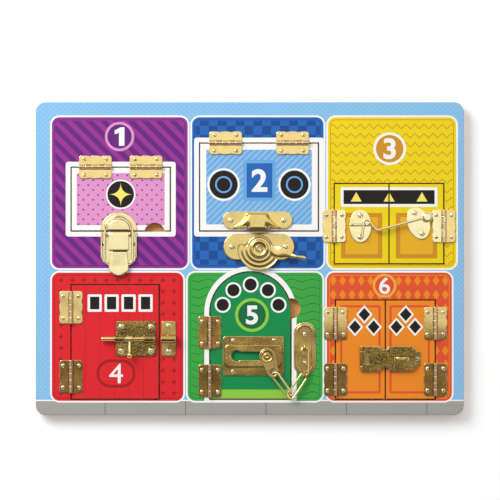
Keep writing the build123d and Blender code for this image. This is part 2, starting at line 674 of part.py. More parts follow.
with BuildPart() as sash_keeper:
    with BuildSketch(Plane.XY.offset(top)):
        with Locations((keeper_x, keeper_y)):
            SlotOverall(keeper_length, keeper_width)
    extrude(amount=keeper_thickness)
    fillet(sash_keeper.faces().sort_by(Axis.Z)[-1].edges(), keeper_thickness / 3)
    with BuildSketch(Plane.XY.offset(top)):
        with BuildLine():
            Polyline(
                (keeper_x - hood_front_width / 2, mouth_y - hood_height),
                (keeper_x + hood_front_width / 2, mouth_y - hood_height),
                (keeper_x + hood_front_width / 2, mouth_y),
                (keeper_x + hood_back_width / 2, keeper_y + hood_back),
                (keeper_x - hood_back_width / 2, keeper_y + hood_back),
                (keeper_x - hood_front_width / 2, mouth_y),
                close=True,
            )
        make_face()
    extrude(amount=hood_height, taper=hood_slope)
    with Locations((keeper_x, mouth_y - hood_height, top + hood_height / 2)):
        Box(2 * hood_front_width, 2 * hood_height, 2 * hood_height, mode=Mode.SUBTRACT)
    with Locations((keeper_x, mouth_y - lip_length / 2, top + mouth_height + lip_thickness / 2)):
        Box(lip_width, lip_length, lip_thickness)
    with Locations((keeper_x, mouth_y + mouth_depth / 2, top + mouth_height / 2)):
        Box(mouth_width, mouth_depth, mouth_height, mode=Mode.SUBTRACT)
    with Locations(*screw_places(keeper_spots, keeper_thickness)):
        Hole(large_shank + screw_fit, keeper_thickness)

sash_keeper.part.label = "sash_keeper"
export_step(sash_keeper.part, "parts/sash_keeper.step")

with BuildPart() as sash_base:
    with BuildSketch(Plane.XY.offset(top)):
        with Locations((sash_x, sash_y)):
            SlotOverall(sash_length, sash_width)
    extrude(amount=sash_thickness)
    fillet(sash_base.faces().sort_by(Axis.Z)[-1].edges(), sash_thickness / 3)
    with Locations((cam_x + stop_pin_x, cam_y + stop_pin_y, top + sash_thickness + stop_pin_height / 2)):
        Cylinder(stop_pin_radius, stop_pin_height)
    with Locations((cam_x, cam_y, top + sash_thickness)):
        Hole(rivet_radius, sash_thickness)
    with Locations(*screw_places(sash_spots, sash_thickness)):
        Hole(large_shank + screw_fit, sash_thickness)

sash_base.part.label = "sash_base"
export_step(sash_base.part, "parts/sash_base.step")

cam_spot = (cam_x, cam_y, lever_angle)
cam_top = cam_bottom + cam_thickness
hub_top = cam_top + hub_height

with BuildPart() as sash_cam:
    # The thin crescent: an off-centre disc with its upper half cut away.
    with BuildSketch(Plane.XY.offset(top + cam_bottom)):
        with Locations(turned((cam_x, cam_y, crescent_cut), 0, -crescent_shift)):
            Circle(crescent_radius)
        with Locations(Location((cam_x, cam_y, 0), (0, 0, crescent_cut)) * Location((0, crescent_radius, 0))):
            Rectangle(4 * crescent_radius, 2 * crescent_radius, mode=Mode.SUBTRACT)
        with Locations((cam_x, cam_y)):
            Circle(cam_disc_radius)
    extrude(amount=cam_thickness)
    with Locations((cam_x, cam_y, top + cam_top + hub_height / 2)):
        Cylinder(hub_radius, hub_height)
    fillet(sash_cam.faces().sort_by(Axis.Z)[-1].edges(), hub_height / 4)
    with BuildSketch(Plane.XY.offset(top + cam_top)):
        with Locations((cam_x, cam_y)):
            Circle(groove_radius + groove_width / 2)
            Circle(groove_radius - groove_width / 2, mode=Mode.SUBTRACT)
    extrude(amount=-groove_depth, mode=Mode.SUBTRACT)
    # The thumb lever: a tapered arm with a low blade along its end.
    with BuildSketch(Plane.XY.offset(top + cam_top)):
        with BuildLine():
            Polyline(
                turned(cam_spot, lever_root_radius, lever_root_width / 2),
                turned(cam_spot, lever_neck_start, lever_neck_width / 2),
                turned(cam_spot, lever_neck_end, lever_tip_width / 2),
                turned(cam_spot, lever_length - lever_tip_width / 2, lever_tip_width / 2),
                turned(cam_spot, lever_length - lever_tip_width / 2, -lever_tip_width / 2),
                turned(cam_spot, lever_neck_end, -lever_tip_width / 2),
                turned(cam_spot, lever_neck_start, -lever_neck_width / 2),
                turned(cam_spot, lever_root_radius, -lever_root_width / 2),
                close=True,
            )
        make_face()
        with Locations(turned(cam_spot, lever_length - lever_tip_width / 2, 0)):
            Circle(lever_tip_width / 2)
    extrude(amount=sash_lever_thickness)
    thumb_mid = lever_length - thumb_length / 2
    with BuildSketch(Plane.XY.offset(top + cam_top)):
        with Locations(Location((cam_x, cam_y, 0), (0, 0, lever_angle)) * Location((thumb_mid, 0, 0))):
            SlotOverall(thumb_length, lever_tip_width)
    extrude(amount=sash_lever_thickness + thumb_rise)
    fillet(sash_cam.faces().sort_by(Axis.Z)[-1].edges(), lever_tip_width / 4)
    with Locations((cam_x, cam_y, top + hub_top)):
        Hole(hub_dish_radius, hub_dish_depth)
        Hole(rivet_radius + rivet_fit, cam_thickness + hub_height)

sash_cam.part.label = "sash_cam"
export_step(sash_cam.part, "parts/sash_cam.step")

rivet_height = hub_top + rivet_proud

with BuildPart() as sash_rivet:
    with Locations((cam_x, cam_y, top + rivet_height / 2)):
        Cylinder(rivet_radius, rivet_height)
    chamfer(sash_rivet.faces().sort_by(Axis.Z)[-1].edges(), rivet_proud)
    with Locations((cam_x, cam_y, top + rivet_height)):
        Hole(rivet_bore, rivet_bore_depth)

sash_rivet.part.label = "sash_rivet"
export_step(sash_rivet.part, "parts/sash_rivet.step")

# ===================================================== latch 3: hook and eye
flange_middle = (eye_plate_x, eye_plate_y + eye_flange_y, top)

with BuildPart() as hook_eye:
    with BuildSketch(Plane.XY.offset(top)):
        with Locations((eye_plate_x, eye_plate_y)):
            Ellipse(hook_plate_width / 2, hook_plate_height / 2)
    extrude(amount=hook_plate_thickness)
    fillet(hook_eye.faces().sort_by(Axis.Z)[-1].edges(), hook_plate_thickness / 2.5)
    # The flange stands across the plate. Its slot is open outwards, so the
    # hook can be lifted out of it as well as drawn up through it.
    with BuildSketch(Plane(origin=flange_middle, z_dir=(0, 1, 0), x_dir=(1, 0, 0))):
        with BuildLine():
            Polyline(
                (-eye_flange_width / 2, 0),
                (eye_flange_width / 2, 0),
                (eye_flange_top_width / 2, -eye_flange_height),
                (-eye_flange_top_width / 2, -eye_flange_height),
                close=True,
            )
        make_face()
    extrude(amount=eye_flange_thickness / 2, both=True)
    with Locations((eye_slot_x, eye_plate_y + eye_flange_y, top + eye_slot_floor + eye_flange_height / 2)):
        Box(eye_slot_width, 2 * eye_flange_thickness, eye_flange_height, mode=Mode.SUBTRACT)
    with Locations(*screw_places(eye_plate_spots, hook_plate_thickness)):
        Hole(large_shank + screw_fit, hook_plate_thickness)

hook_eye.part.label = "hook_eye"
export_step(hook_eye.part, "parts/hook_eye.step")

with BuildPart() as hook_swivel_plate:
    with BuildSketch(Plane.XY.offset(top)):
        with Locations(Location((swivel_plate_x, swivel_plate_y, 0), (0, 0, swivel_plate_tilt))):
            Ellipse(hook_plate_width / 2, hook_plate_height / 2)
        with Locations((stud_x, stud_y)):
            Circle(stud_ear_radius)
    extrude(amount=hook_plate_thickness)
    fillet(hook_swivel_plate.faces().sort_by(Axis.Z)[-1].edges(), hook_plate_thickness / 2.5)
    with Locations(*screw_places(swivel_plate_spots, hook_plate_thickness)):
        Hole(large_shank + screw_fit, hook_plate_thickness)
    with Locations((stud_x, stud_y, top + hook_plate_thickness)):
        Hole(stud_radius, hook_plate_thickness)

hook_swivel_plate.part.label = "hook_swivel_plate"
export_step(hook_swivel_plate.part, "parts/hook_swivel_plate.step")

stud_shoulder = hook_height + hook_radius + hook_cap_clearance

with BuildPart() as hook_stud:
    with Locations((stud_x, stud_y, top + stud_shoulder / 2)):
        Cylinder(stud_radius, stud_shoulder)
    with Locations((stud_x, stud_y, top + stud_shoulder + stud_cap_thickness / 2)):
        Cylinder(stud_cap_radius, stud_cap_thickness)
    fillet(hook_stud.faces().sort_by(Axis.Z)[-1].edges(), stud_cap_thickness / 2)

hook_stud.part.label = "hook_stud"
export_step(hook_stud.part, "parts/hook_stud.step")

shaft_angle = atan2(stud_y - hook_low_bend[1], stud_x - hook_low_bend[0])
shaft_start = (stud_x - hook_ring_radius * cos(shaft_angle), stud_y - hook_ring_radius * sin(shaft_angle))

with BuildPart() as hook:
    with BuildLine(Plane.XY.offset(top + hook_height)) as hook_path:
        FilletPolyline(
            shaft_start,
            hook_low_bend,
            hook_crest,
            hook_tip,
            radius=(hook_low_radius, hook_crest_radius),
        )
    with BuildSketch(Plane(origin=hook_path.wire() @ 0, z_dir=hook_path.wire() % 0)):
        Circle(hook_radius)
    sweep()
    with Locations((hook_tip[0], hook_tip[1], top + hook_height)):
        Sphere(hook_radius)
    with Locations((stud_x, stud_y, top + hook_height)):
        Torus(hook_ring_radius, hook_radius)

hook.part.label = "hook"
export_step(hook.part, "parts/hook.step")

# ====================================================== latch 4: barrel bolt
rod_z = top + rod_height
sleeve_bore = rod_radius + rod_fit
sleeve_radius = sleeve_bore + sleeve_wall


def sleeve_body(x, length, radius):
    """A round sleeve on a foot that stands on its plate."""
    with Locations((x, bolt_plate_y, top + rod_height / 2)):
        Box(length, 2 * sleeve_foot, rod_height)
    with Locations(along_x(x, bolt_plate_y, rod_z)):
        Cylinder(radius, length)


with BuildPart() as bolt_plate:
    with BuildSketch(Plane.XY.offset(top)):
        with Locations((bolt_plate_x, bolt_plate_y)):
            RectangleRounded(bolt_plate_width, bolt_plate_height, bolt_plate_corner)
    extrude(amount=bolt_plate_thickness)
    fillet(bolt_plate.faces().sort_by(Axis.Z)[-1].edges(), bolt_plate_thickness / 3)
    for x in (sleeve_left_x, sleeve_right_x):
        sleeve_body(x, sleeve_length, sleeve_radius)
    with Locations(along_x(bolt_plate_x, bolt_plate_y, rod_z)):
        Cylinder(sleeve_bore, 2 * bolt_plate_width, mode=Mode.SUBTRACT)
    with Locations(*screw_places(bolt_spots, bolt_plate_thickness)):
        Hole(large_shank + screw_fit, bolt_plate_thickness)

bolt_plate.part.label = "bolt_plate"
export_step(bolt_plate.part, "parts/bolt_plate.step")

rod_length = rod_right - rod_left

with BuildPart() as bolt_rod:
    with Locations(along_x((rod_left + rod_right) / 2, bolt_plate_y, rod_z)):
        Cylinder(rod_radius, rod_length)
    fillet(bolt_rod.edges().filter_by(GeomType.CIRCLE), rod_radius / 2)

bolt_rod.part.label = "bolt_rod"
export_step(bolt_rod.part, "parts/bolt_rod.step")

knob_y = bolt_plate_y - knob_reach * cos(radians(knob_tilt))
knob_z = rod_z + knob_reach * sin(radians(knob_tilt))

with BuildPart() as bolt_knob:
    with Locations(along_x(knob_x, bolt_plate_y, rod_z)):
        Cylinder(rod_radius + knob_collar_wall, knob_collar_length)
    with Locations(
        Location((knob_x, (bolt_plate_y + knob_y) / 2, (rod_z + knob_z) / 2), (90 - knob_tilt, 0, 0))
    ):
        Cylinder(knob_stem_radius, knob_reach)
    with Locations((knob_x, knob_y, knob_z)):
        Sphere(knob_ball_radius)
    with Locations(along_x(knob_x, bolt_plate_y, rod_z)):
        Cylinder(rod_radius + pin_fit, 2 * knob_collar_length, mode=Mode.SUBTRACT)

bolt_knob.part.label = "bolt_knob"
export_step(bolt_knob.part, "parts/bolt_knob.step")

with BuildPart() as bolt_strike:
    with BuildSketch(Plane.XY.offset(top)):
        with Locations((strike_4_x, bolt_plate_y)):
            RectangleRounded(strike_4_width, strike_4_height, strike_4_corner)
    extrude(amount=bolt_plate_thickness)
    fillet(bolt_strike.faces().sort_by(Axis.Z)[-1].edges(), bolt_plate_thickness / 3)
    sleeve_body(strike_4_x, strike_4_width, sleeve_radius + socket_clearance)
    with Locations(along_x(strike_4_x, bolt_plate_y, rod_z)):
        Cylinder(rod_radius + socket_clearance, 2 * strike_4_width, mode=Mode.SUBTRACT)
    with Locations(*screw_places(strike_4_spots, bolt_plate_thickness)):
        Hole(large_shank + screw_fit, bolt_plate_thickness)

bolt_strike.part.label = "bolt_strike"
export_step(bolt_strike.part, "parts/bolt_strike.step")

# ======================================================= latch 5: door chain
with BuildPart() as chain_track:
    with BuildSketch(Plane.XY.offset(top)):
        with Locations((track_x, track_y)):
            RectangleRounded(track_width, track_height, track_corner)
    extrude(amount=track_thickness)
    with BuildSketch(Plane.XY.offset(top)):
        with Locations((track_x, track_y)):
            RectangleRounded(channel_width, channel_height, channel_corner)
    extrude(amount=channel_rise)
    fillet(chain_track.faces().sort_by(Axis.Z)[-1].edges(), channel_round)
    with BuildSketch(Plane.XY.offset(top)):
        with Locations((track_x, track_y)):
            RectangleRounded(
                channel_width - 2 * channel_wall,
                channel_height - 2 * channel_wall,
                channel_corner - channel_wall,
            )
    extrude(amount=channel_rise - channel_roof, mode=Mode.SUBTRACT)
    with BuildSketch(Plane.XY.offset(top + channel_rise)):
        with Locations(((slot_left + slot_right) / 2, track_y)):
            SlotCenterToCenter(slot_right - slot_left, slot_width)
        with Locations((slot_left, track_y)):
            Circle(entry_radius)
    extrude(amount=-channel_rise, mode=Mode.SUBTRACT)
    with Locations(*screw_places(track_spots, track_thickness)):
        Hole(small_shank + screw_fit, track_thickness)

chain_track.part.label = "chain_track"
export_step(chain_track.part, "parts/chain_track.step")

button_x, button_y = slot_right, track_y
hanger_bottom = chain_plane - hanger_thickness / 2
hanger_top = chain_plane + hanger_thickness / 2
shank_radius = slot_width / 2 - slider_fit
flange_radius = entry_radius - slider_fit
button_bottom = hanger_top + hanger_fit
seat_height = hanger_bottom - hanger_fit

with BuildPart() as chain_slider:
    with Locations((button_x, button_y, top + slider_flange_bottom + slider_flange_thickness / 2)):
        Cylinder(flange_radius, slider_flange_thickness)
    with Locations((button_x, button_y, top + (slider_flange_bottom + seat_height) / 2)):
        Cylinder(shank_radius, seat_height - slider_flange_bottom)
    with Locations((button_x, button_y, top + (seat_height + button_bottom) / 2)):
        Cylinder(shank_radius - slider_fit, button_bottom - seat_height)
    with Locations((button_x, button_y, top + button_bottom + button_thickness / 2)):
        Cylinder(button_radius, button_thickness)
    fillet(chain_slider.faces().sort_by(Axis.Z)[-1].edges(), button_round)
    with Locations((button_x, button_y, top + button_bottom + button_thickness + button_boss_height / 2)):
        Cylinder(button_boss_radius, button_boss_height)
    fillet(chain_slider.faces().sort_by(Axis.Z)[-1].edges(), button_boss_height / 2)

chain_slider.part.label = "chain_slider"
export_step(chain_slider.part, "parts/chain_slider.step")

ring_x, ring_y = button_x + hanger_dx, button_y + hanger_dy

with BuildPart() as chain_hanger:
    with BuildSketch(Plane.XY.offset(top + hanger_bottom)) as hanger_outline:
        with Locations((button_x, button_y)):
            Circle(hanger_top_radius)
        with Locations((ring_x, ring_y)):
            Circle(hanger_ring_radius)
        make_hull()
        with Locations((button_x, button_y)):
            Circle(shank_radius - slider_fit + hanger_fit, mode=Mode.SUBTRACT)
        with Locations((ring_x, ring_y)):
            Circle(hanger_ring_hole, mode=Mode.SUBTRACT)
    extrude(amount=hanger_thickness)

chain_hanger.part.label = "chain_hanger"
export_step(chain_hanger.part, "parts/chain_hanger.step")

link_step = 2 * link_radius + link_play     # wire centre to wire centre where two links meet


def link_place(spot, height, drop, roll):
    """Where a link lies: spot = (x, y, angle) of its near end, dropped at its far end and rolled."""
    return (
        Location((spot[0], spot[1], top + height), (0, 0, spot[2]))
        * Location((0, 0, 0), (0, drop, 0))
        * Location((0, 0, 0), (roll, 0, 0))
    )


# A long oval link of round wire, its near end at the origin and its length along X.
with BuildPart() as long_link:
    with BuildLine() as link_path:
        link_straight = link_length - 2 * link_half_width
        link_low = Line(
            (link_half_width, -link_half_width),
            (link_half_width + link_straight, -link_half_width),
        )
        link_far = JernArc(link_low @ 1, link_low % 1, link_half_width, 180)
        link_high = Line(link_far @ 1, (link_half_width, link_half_width))
        JernArc(link_high @ 1, link_high % 1, link_half_width, 180)
    with BuildSketch(Plane(origin=link_low @ 0, z_dir=link_low % 0)):
        Circle(link_radius)
    sweep()

spot_a = (*turned((ring_x, ring_y, link_a_angle), link_seat, 0), link_a_angle)
far_a = turned(spot_a, link_length, 0)
spot_b = (*turned((*far_a, link_b_angle), -link_step, 0), link_b_angle)

with BuildPart() as chain_link_a:
    with Locations(link_place(spot_a, chain_plane, link_a_drop, link_a_roll)):
        add(long_link.part)

chain_link_a.part.label = "chain_link_a"
export_step(chain_link_a.part, "parts/chain_link_a.step")

with BuildPart() as chain_link_b:
    with Locations(link_place(spot_b, chain_plane, link_b_drop, link_b_roll)):
        add(long_link.part)

chain_link_b.part.label = "chain_link_b"
export_step(chain_link_b.part, "parts/chain_link_b.step")

with BuildPart() as chain_link_c:
    with Locations(link_place((anchor_x, anchor_eye_y, -90), link_c_height, 0, 0)):
        add(long_link.part)

chain_link_c.part.label = "chain_link_c"
export_step(chain_link_c.part, "parts/chain_link_c.step")

rim_height = anchor_height - 2 * anchor_rim_inset
rim_width = anchor_width - 2 * anchor_rim_inset

with BuildPart() as chain_anchor:
    with BuildSketch(Plane.XY.offset(top)):
        with Locations((anchor_x, anchor_y)):
            SlotOverall(anchor_height, anchor_width, rotation=90)
    extrude(amount=anchor_thickness)
    with BuildSketch(Plane.XY.offset(top)):
        with Locations((anchor_x, anchor_y)):
            SlotOverall(rim_height, rim_width, rotation=90)
            SlotOverall(
                rim_height - 2 * anchor_rim_width,
                rim_width - 2 * anchor_rim_width,
                rotation=90,
                mode=Mode.SUBTRACT,
            )
    extrude(amount=anchor_rim_height)
    # The eye: a wire bridge over the head of the last link.
    with BuildLine(Plane.YZ.offset(anchor_x)) as eye_path:
        eye_foot = Line(
            (anchor_eye_y + anchor_eye_radius, top),
            (anchor_eye_y + anchor_eye_radius, top + anchor_eye_height),
        )
        eye_arch = JernArc(eye_foot @ 1, eye_foot % 1, anchor_eye_radius, 180)
        Line(eye_arch @ 1, (anchor_eye_y - anchor_eye_radius, top))
    with BuildSketch(Plane(origin=eye_foot @ 0, z_dir=eye_foot % 0)):
        Circle(link_radius)
    sweep()
    with Locations(*screw_places(anchor_spots, anchor_thickness)):
        Hole(small_shank + screw_fit, anchor_thickness)

chain_anchor.part.label = "chain_anchor"
export_step(chain_anchor.part, "parts/chain_anchor.step")

# ================================================= latch 6: hasp and staple
hasp_axis_z = top + hasp_axis_height
middle_length = hasp_width * hasp_middle_share
end_length = (hasp_width - middle_length) / 2 - hasp_knuckle_gap
end_offset = (hasp_width - end_length) / 2
strap_right = hasp_x + hasp_length

with BuildPart() as hasp_leaf:
    with BuildSketch(Plane.XY.offset(top)):
        with Locations((hasp_x + hasp_leaf_length / 2, hasp_y)):
            Rectangle(hasp_leaf_length, hasp_width)
    extrude(amount=hasp_leaf_thickness)
    with Locations((hasp_x, hasp_y, hasp_axis_z)):
        Box(
            2 * (hasp_barrel_radius + hasp_knuckle_gap),
            middle_length + 2 * hasp_knuckle_gap,
            2 * hasp_axis_height,
            mode=Mode.SUBTRACT,
        )
    with Locations(*[along_y(hasp_x, hasp_y + side * end_offset, hasp_axis_z) for side in (-1, 1)]):
        Cylinder(hasp_barrel_radius, end_length)
    with Locations(along_y(hasp_x, hasp_y, hasp_axis_z)):
        Cylinder(hasp_pin_radius + screw_fit, hasp_width, mode=Mode.SUBTRACT)
    with Locations(*screw_places(hasp_leaf_spots, hasp_leaf_thickness)):
        Hole(small_shank + screw_fit, hasp_leaf_thickness)

hasp_leaf.part.label = "hasp_leaf"
export_step(hasp_leaf.part, "parts/hasp_leaf.step")

with BuildPart() as hasp_pin:
    with Locations(along_y(hasp_x, hasp_y, hasp_axis_z)):
        Cylinder(hasp_pin_radius, hasp_width)

hasp_pin.part.label = "hasp_pin"
export_step(hasp_pin.part, "parts/hasp_pin.step")

strap_slot_mid = staple_x + (staple_slot_front - staple_slot_back) / 2
knuckle_clear = hasp_barrel_radius + hasp_knuckle_gap

with BuildPart() as hasp_strap:
    with BuildSketch(Plane.XY.offset(top + strap_height)) as strap_outline:
        with Locations(((hasp_x + strap_right) / 2, hasp_y)):
            Rectangle(hasp_length, hasp_width)
        chamfer(strap_outline.vertices().group_by(Axis.X)[-1], strap_chamfer)
        with Locations(*[
            (strap_notch_x, hasp_y + side * (hasp_width / 2 + strap_notch_radius - strap_notch_depth))
            for side in (-1, 1)
        ]):
            Circle(strap_notch_radius, mode=Mode.SUBTRACT)
        with Locations((strap_window_x, hasp_y)):
            Rectangle(strap_window_width, strap_window_height, mode=Mode.SUBTRACT)
        with Locations((strap_slot_mid, staple_y)):
            SlotOverall(staple_slot_back + staple_slot_front, staple_slot_width, mode=Mode.SUBTRACT)
        # Room for the leaf's two end knuckles.
        with Locations(*[(hasp_x, hasp_y + side * end_offset) for side in (-1, 1)]):
            Rectangle(2 * knuckle_clear, end_length + 2 * hasp_knuckle_gap, mode=Mode.SUBTRACT)
    extrude(amount=strap_thickness)
    with Locations(along_y(hasp_x, hasp_y, hasp_axis_z)):
        Cylinder(hasp_barrel_radius, middle_length)
        Cylinder(hasp_pin_radius + pin_fit, 2 * hasp_width, mode=Mode.SUBTRACT)

hasp_strap.part.label = "hasp_strap"
export_step(hasp_strap.part, "parts/hasp_strap.step")

staple_plate_left = split_6 + half_gap + staple_plate_seam

with BuildPart() as staple_plate:
    with BuildSketch(Plane.XY.offset(top)):
        with Locations(((staple_plate_left + staple_plate_right) / 2, staple_y)):
            Rectangle(staple_plate_right - staple_plate_left, staple_plate_height)
    extrude(amount=hasp_leaf_thickness)
    with Locations((staple_x, staple_y, top + hasp_leaf_thickness)):
        Hole(neck_radius + neck_fit, hasp_leaf_thickness)
    with Locations(*screw_places(staple_plate_spots, hasp_leaf_thickness)):
        Hole(small_shank + screw_fit, hasp_leaf_thickness)

staple_plate.part.label = "staple_plate"
export_step(staple_plate.part, "parts/staple_plate.step")

with BuildPart() as turn_staple:
    with Locations((staple_x, staple_y, top + (staple_base + staple_root) / 2)):
        Cylinder(neck_radius, staple_base - staple_root)
    with BuildSketch(Plane.XZ.offset(-staple_y)):
        with BuildLine():
            Polyline(
                (staple_x - staple_half_width, top + staple_base + staple_rise / 2),
                (staple_x - staple_half_width, top + staple_base),
                (staple_x + staple_half_width, top + staple_base),
                (staple_x + staple_half_width, top + staple_base + staple_rise / 2),
            )
            ThreePointArc(
                (staple_x + staple_half_width, top + staple_base + staple_rise / 2),
                (staple_x, top + staple_base + staple_rise),
                (staple_x - staple_half_width, top + staple_base + staple_rise / 2),
            )
        make_face()
    extrude(amount=staple_thickness / 2, both=True)
    fillet(turn_staple.edges().filter_by(GeomType.CIRCLE).group_by(Axis.Z)[-1], staple_thickness / 4)
    with Locations(along_y(staple_x, staple_y, top + staple_base + staple_eye_height)):
        Cylinder(staple_eye_radius, 2 * staple_thickness, mode=Mode.SUBTRACT)

turn_staple.part.label = "turn_staple"
export_step(turn_staple.part, "parts/turn_staple.step")
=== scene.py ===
# %% [markdown]
# # A wooden busy board with brass latches
#
# This lesson dresses a finished solid model of a busy board. The solids
# are already exact, so Blender adds what a solid can't say: printed paint
# on plywood, bare cut edges, polished brass, and the light of a small
# studio. The first cell loads the solids. Each one stays where it is.
# Most change only their material, and seven small pieces of the latches
# get a finer skin in their place.

# %% Load the solids
import math

import bmesh
import bpy
import numpy as np
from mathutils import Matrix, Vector


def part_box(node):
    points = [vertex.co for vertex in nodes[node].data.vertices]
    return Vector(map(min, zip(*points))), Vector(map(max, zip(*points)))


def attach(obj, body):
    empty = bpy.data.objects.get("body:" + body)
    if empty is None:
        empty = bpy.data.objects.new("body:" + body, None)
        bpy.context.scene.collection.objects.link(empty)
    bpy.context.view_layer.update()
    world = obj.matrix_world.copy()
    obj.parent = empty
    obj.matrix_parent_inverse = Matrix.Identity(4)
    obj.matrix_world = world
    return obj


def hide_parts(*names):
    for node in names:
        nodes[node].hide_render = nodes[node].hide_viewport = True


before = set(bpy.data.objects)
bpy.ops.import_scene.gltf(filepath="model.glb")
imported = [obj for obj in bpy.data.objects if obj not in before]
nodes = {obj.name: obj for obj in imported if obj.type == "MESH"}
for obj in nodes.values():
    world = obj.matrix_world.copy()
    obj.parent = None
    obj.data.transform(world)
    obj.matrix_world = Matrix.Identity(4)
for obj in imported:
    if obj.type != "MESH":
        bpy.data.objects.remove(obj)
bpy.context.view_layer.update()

# %% [markdown]
# ## Shader maths as plain Python
#
# A printed pattern is a function of x and y: stripes are a remainder, a
# disc is a distance. Blender says such things with Math nodes, and a
# drawing of a hundred of them is hard to read. So one small class wraps a
# socket, and Python's own operators add the nodes. Everything else comes
# from its `node` method: a type, the settings, then the sockets.


# %% A socket that Python can do sums with
class Wire:
    """A shader socket. Operators on it add Math nodes to its tree."""

    def __init__(self, tree, socket=None):
        self.tree = tree
        self.socket = socket

    def node(self, kind, settings=None, inputs=None, output=0):
        """Adds one node: its settings first, then values or wires for its sockets."""
        made = self.tree.nodes.new(kind)
        for name, value in (settings or {}).items():
            setattr(made, name, value)
        for name, value in (inputs or {}).items():
            entry = made.inputs[name]
            if isinstance(value, Wire):
                self.tree.links.new(value.socket, entry)
            elif isinstance(value, tuple):
                entry.default_value = (*value, 1.0)[: len(entry.default_value)]
            else:
                entry.default_value = value
        return Wire(self.tree, made.outputs[output])

    def sum_node(self, operation, first, second=0.0):
        """Adds one Math node."""
        return self.node("ShaderNodeMath", {"operation": operation}, {0: first, 1: second})

    def __add__(self, other):
        return self.sum_node("ADD", self, other)

    def __radd__(self, other):
        return self.sum_node("ADD", other, self)

    def __sub__(self, other):
        return self.sum_node("SUBTRACT", self, other)

    def __rsub__(self, other):
        return self.sum_node("SUBTRACT", other, self)

    def __mul__(self, other):
        return self.sum_node("MULTIPLY", self, other)

    def __rmul__(self, other):
        return self.sum_node("MULTIPLY", other, self)

    def __mod__(self, other):
        return self.sum_node("FLOORED_MODULO", self, other)

    def __abs__(self):
        return self.sum_node("ABSOLUTE", self)

    def root(self):
        return self.sum_node("SQRT", self)

    def sine(self):
        return self.sum_node("SINE", self)

    def smaller(self, other):
        return self.sum_node("MINIMUM", self, other)

    def larger(self, other):
        return self.sum_node("MAXIMUM", self, other)

    def pingpong(self, reach):
        return self.sum_node("PINGPONG", self, reach)

    def held(self):
        """The value, held between 0 and 1."""
        return self.larger(0.0).smaller(1.0)


# %% [markdown]
# ## Shapes and colours for the print
#
# A printed shape is a signed distance in millimetres: negative inside,
# zero on its outline. `ink` turns that distance into a soft-edged mask a
# fifth of a millimetre wide, which is about what a screen print has.
# Colours are written as they look on screen and turned into the linear
# light that shaders work in.


# %% Distances, masks and mixes
def paint(code):
    """A screen colour such as "#7fbfe8" as linear light: ((c + 0.055) / 1.055) to the power 2.4."""
    parts = [int(code[i : i + 2], 16) / 255 for i in (1, 3, 5)]
    return tuple(c / 12.92 if c <= 0.04045 else ((c + 0.055) / 1.055) ** 2.4 for c in parts)


def ink(distance, edge=0.2):
    """1 inside a shape, 0 outside, with a ramp of that many millimetres across the outline."""
    return (0.5 - distance * (1 / edge)).held()


def disc(x, y, cx, cy, radius):
    """Distance to a circle: the distance to its centre less its radius."""
    dx, dy = x - cx, y - cy
    return (dx * dx + dy * dy).root() - radius


def block(x, y, cx, cy, half_width, half_height, corner=0.0):
    """Distance to a rectangle with round corners: how far the point is past each side, combined."""
    dx = abs(x - cx) - (half_width - corner)
    dy = abs(y - cy) - (half_height - corner)
    px, py = dx.larger(0.0), dy.larger(0.0)
    return (px * px + py * py).root() + dx.larger(dy).smaller(0.0) - corner


def kite(x, y, cx, cy, half_width, half_height):
    """Distance to a diamond: the two offsets, each over its half size, added and scaled back."""
    scale = half_width * half_height / math.hypot(half_width, half_height)
    return (abs(x - cx) * (1 / half_width) + abs(y - cy) * (1 / half_height) - 1.0) * scale


def wedge(x, y, cx, cy, reach):
    """Distance to an equal-sided triangle that points up: the largest of its three sides' distances."""
    across, up = 0.866, 0.5  # cosine and sine of 30 degrees, the way a sloping side faces
    dx, dy = abs(x - cx), y - cy
    return (dx * across + dy * up).larger(-1.0 * dy) - reach * up


def mix(wire, mask, low, high):
    """low where the mask is 0 and high where it is 1, for colours."""
    # A Mix node's colours are its sockets 6 and 7, and its mixed colour is output 2.
    return wire.node("ShaderNodeMix", {"data_type": "RGBA"}, {0: mask, 6: low, 7: high}, 2)


def framed(wire, colour, shape, rim, line, fill):
    """A shape in one ink, and inside it a second ink that starts a rim's width in from the outline."""
    return mix(wire, ink(shape + rim), mix(wire, ink(shape), colour, line), fill)


def noise(wire, where, scale, detail=2.0, roughness=0.5):
    """Blender's cloud noise, from 0 to 1, at that many clouds a metre."""
    return wire.node(
        "ShaderNodeTexNoise",
        {"noise_dimensions": "3D"},
        {"Vector": where, "Scale": scale, "Detail": detail, "Roughness": roughness},
    )


def stretch(wire, where, along_x):
    """Coordinates with x shrunk to that share, so that clouds in them grow long in x, as grain does."""
    return wire.node("ShaderNodeMapping", None, {"Vector": where, "Scale": (along_x, 1.0, 1.0)})


print("white is", paint("#ffffff"), "and sky is", tuple(round(c, 3) for c in paint("#84bfe8")))

# %% [markdown]
# ## Painted plywood
#
# The board and its doors are plywood, printed on the front only. The cut
# edges stay bare, and thin darker plies run round them. Which is which
# follows from height alone: paint lies above a height just under the
# front face. The print itself is built by a function for each piece, so
# one recipe serves the board and all the doors.

# %% The plywood recipe
mm = 0.001  # a millimetre in Blender's metres
front = 12.0  # height of the front face, in millimetres
paint_depth = 0.55  # how far the paint reaches down over an edge


def start(name):
    """A new material, its tree as a Wire, its Principled shader and object coordinates in millimetres."""
    made = bpy.data.materials.new(name)
    made.use_nodes = True
    tree = made.node_tree
    shader = tree.nodes["Principled BSDF"]
    wire = Wire(tree)
    where = wire.node("ShaderNodeTexCoord", output=3)
    parts = [wire.node("ShaderNodeSeparateXYZ", None, {0: where}, i) * 1000.0 for i in range(3)]
    return made, wire, shader, where, parts


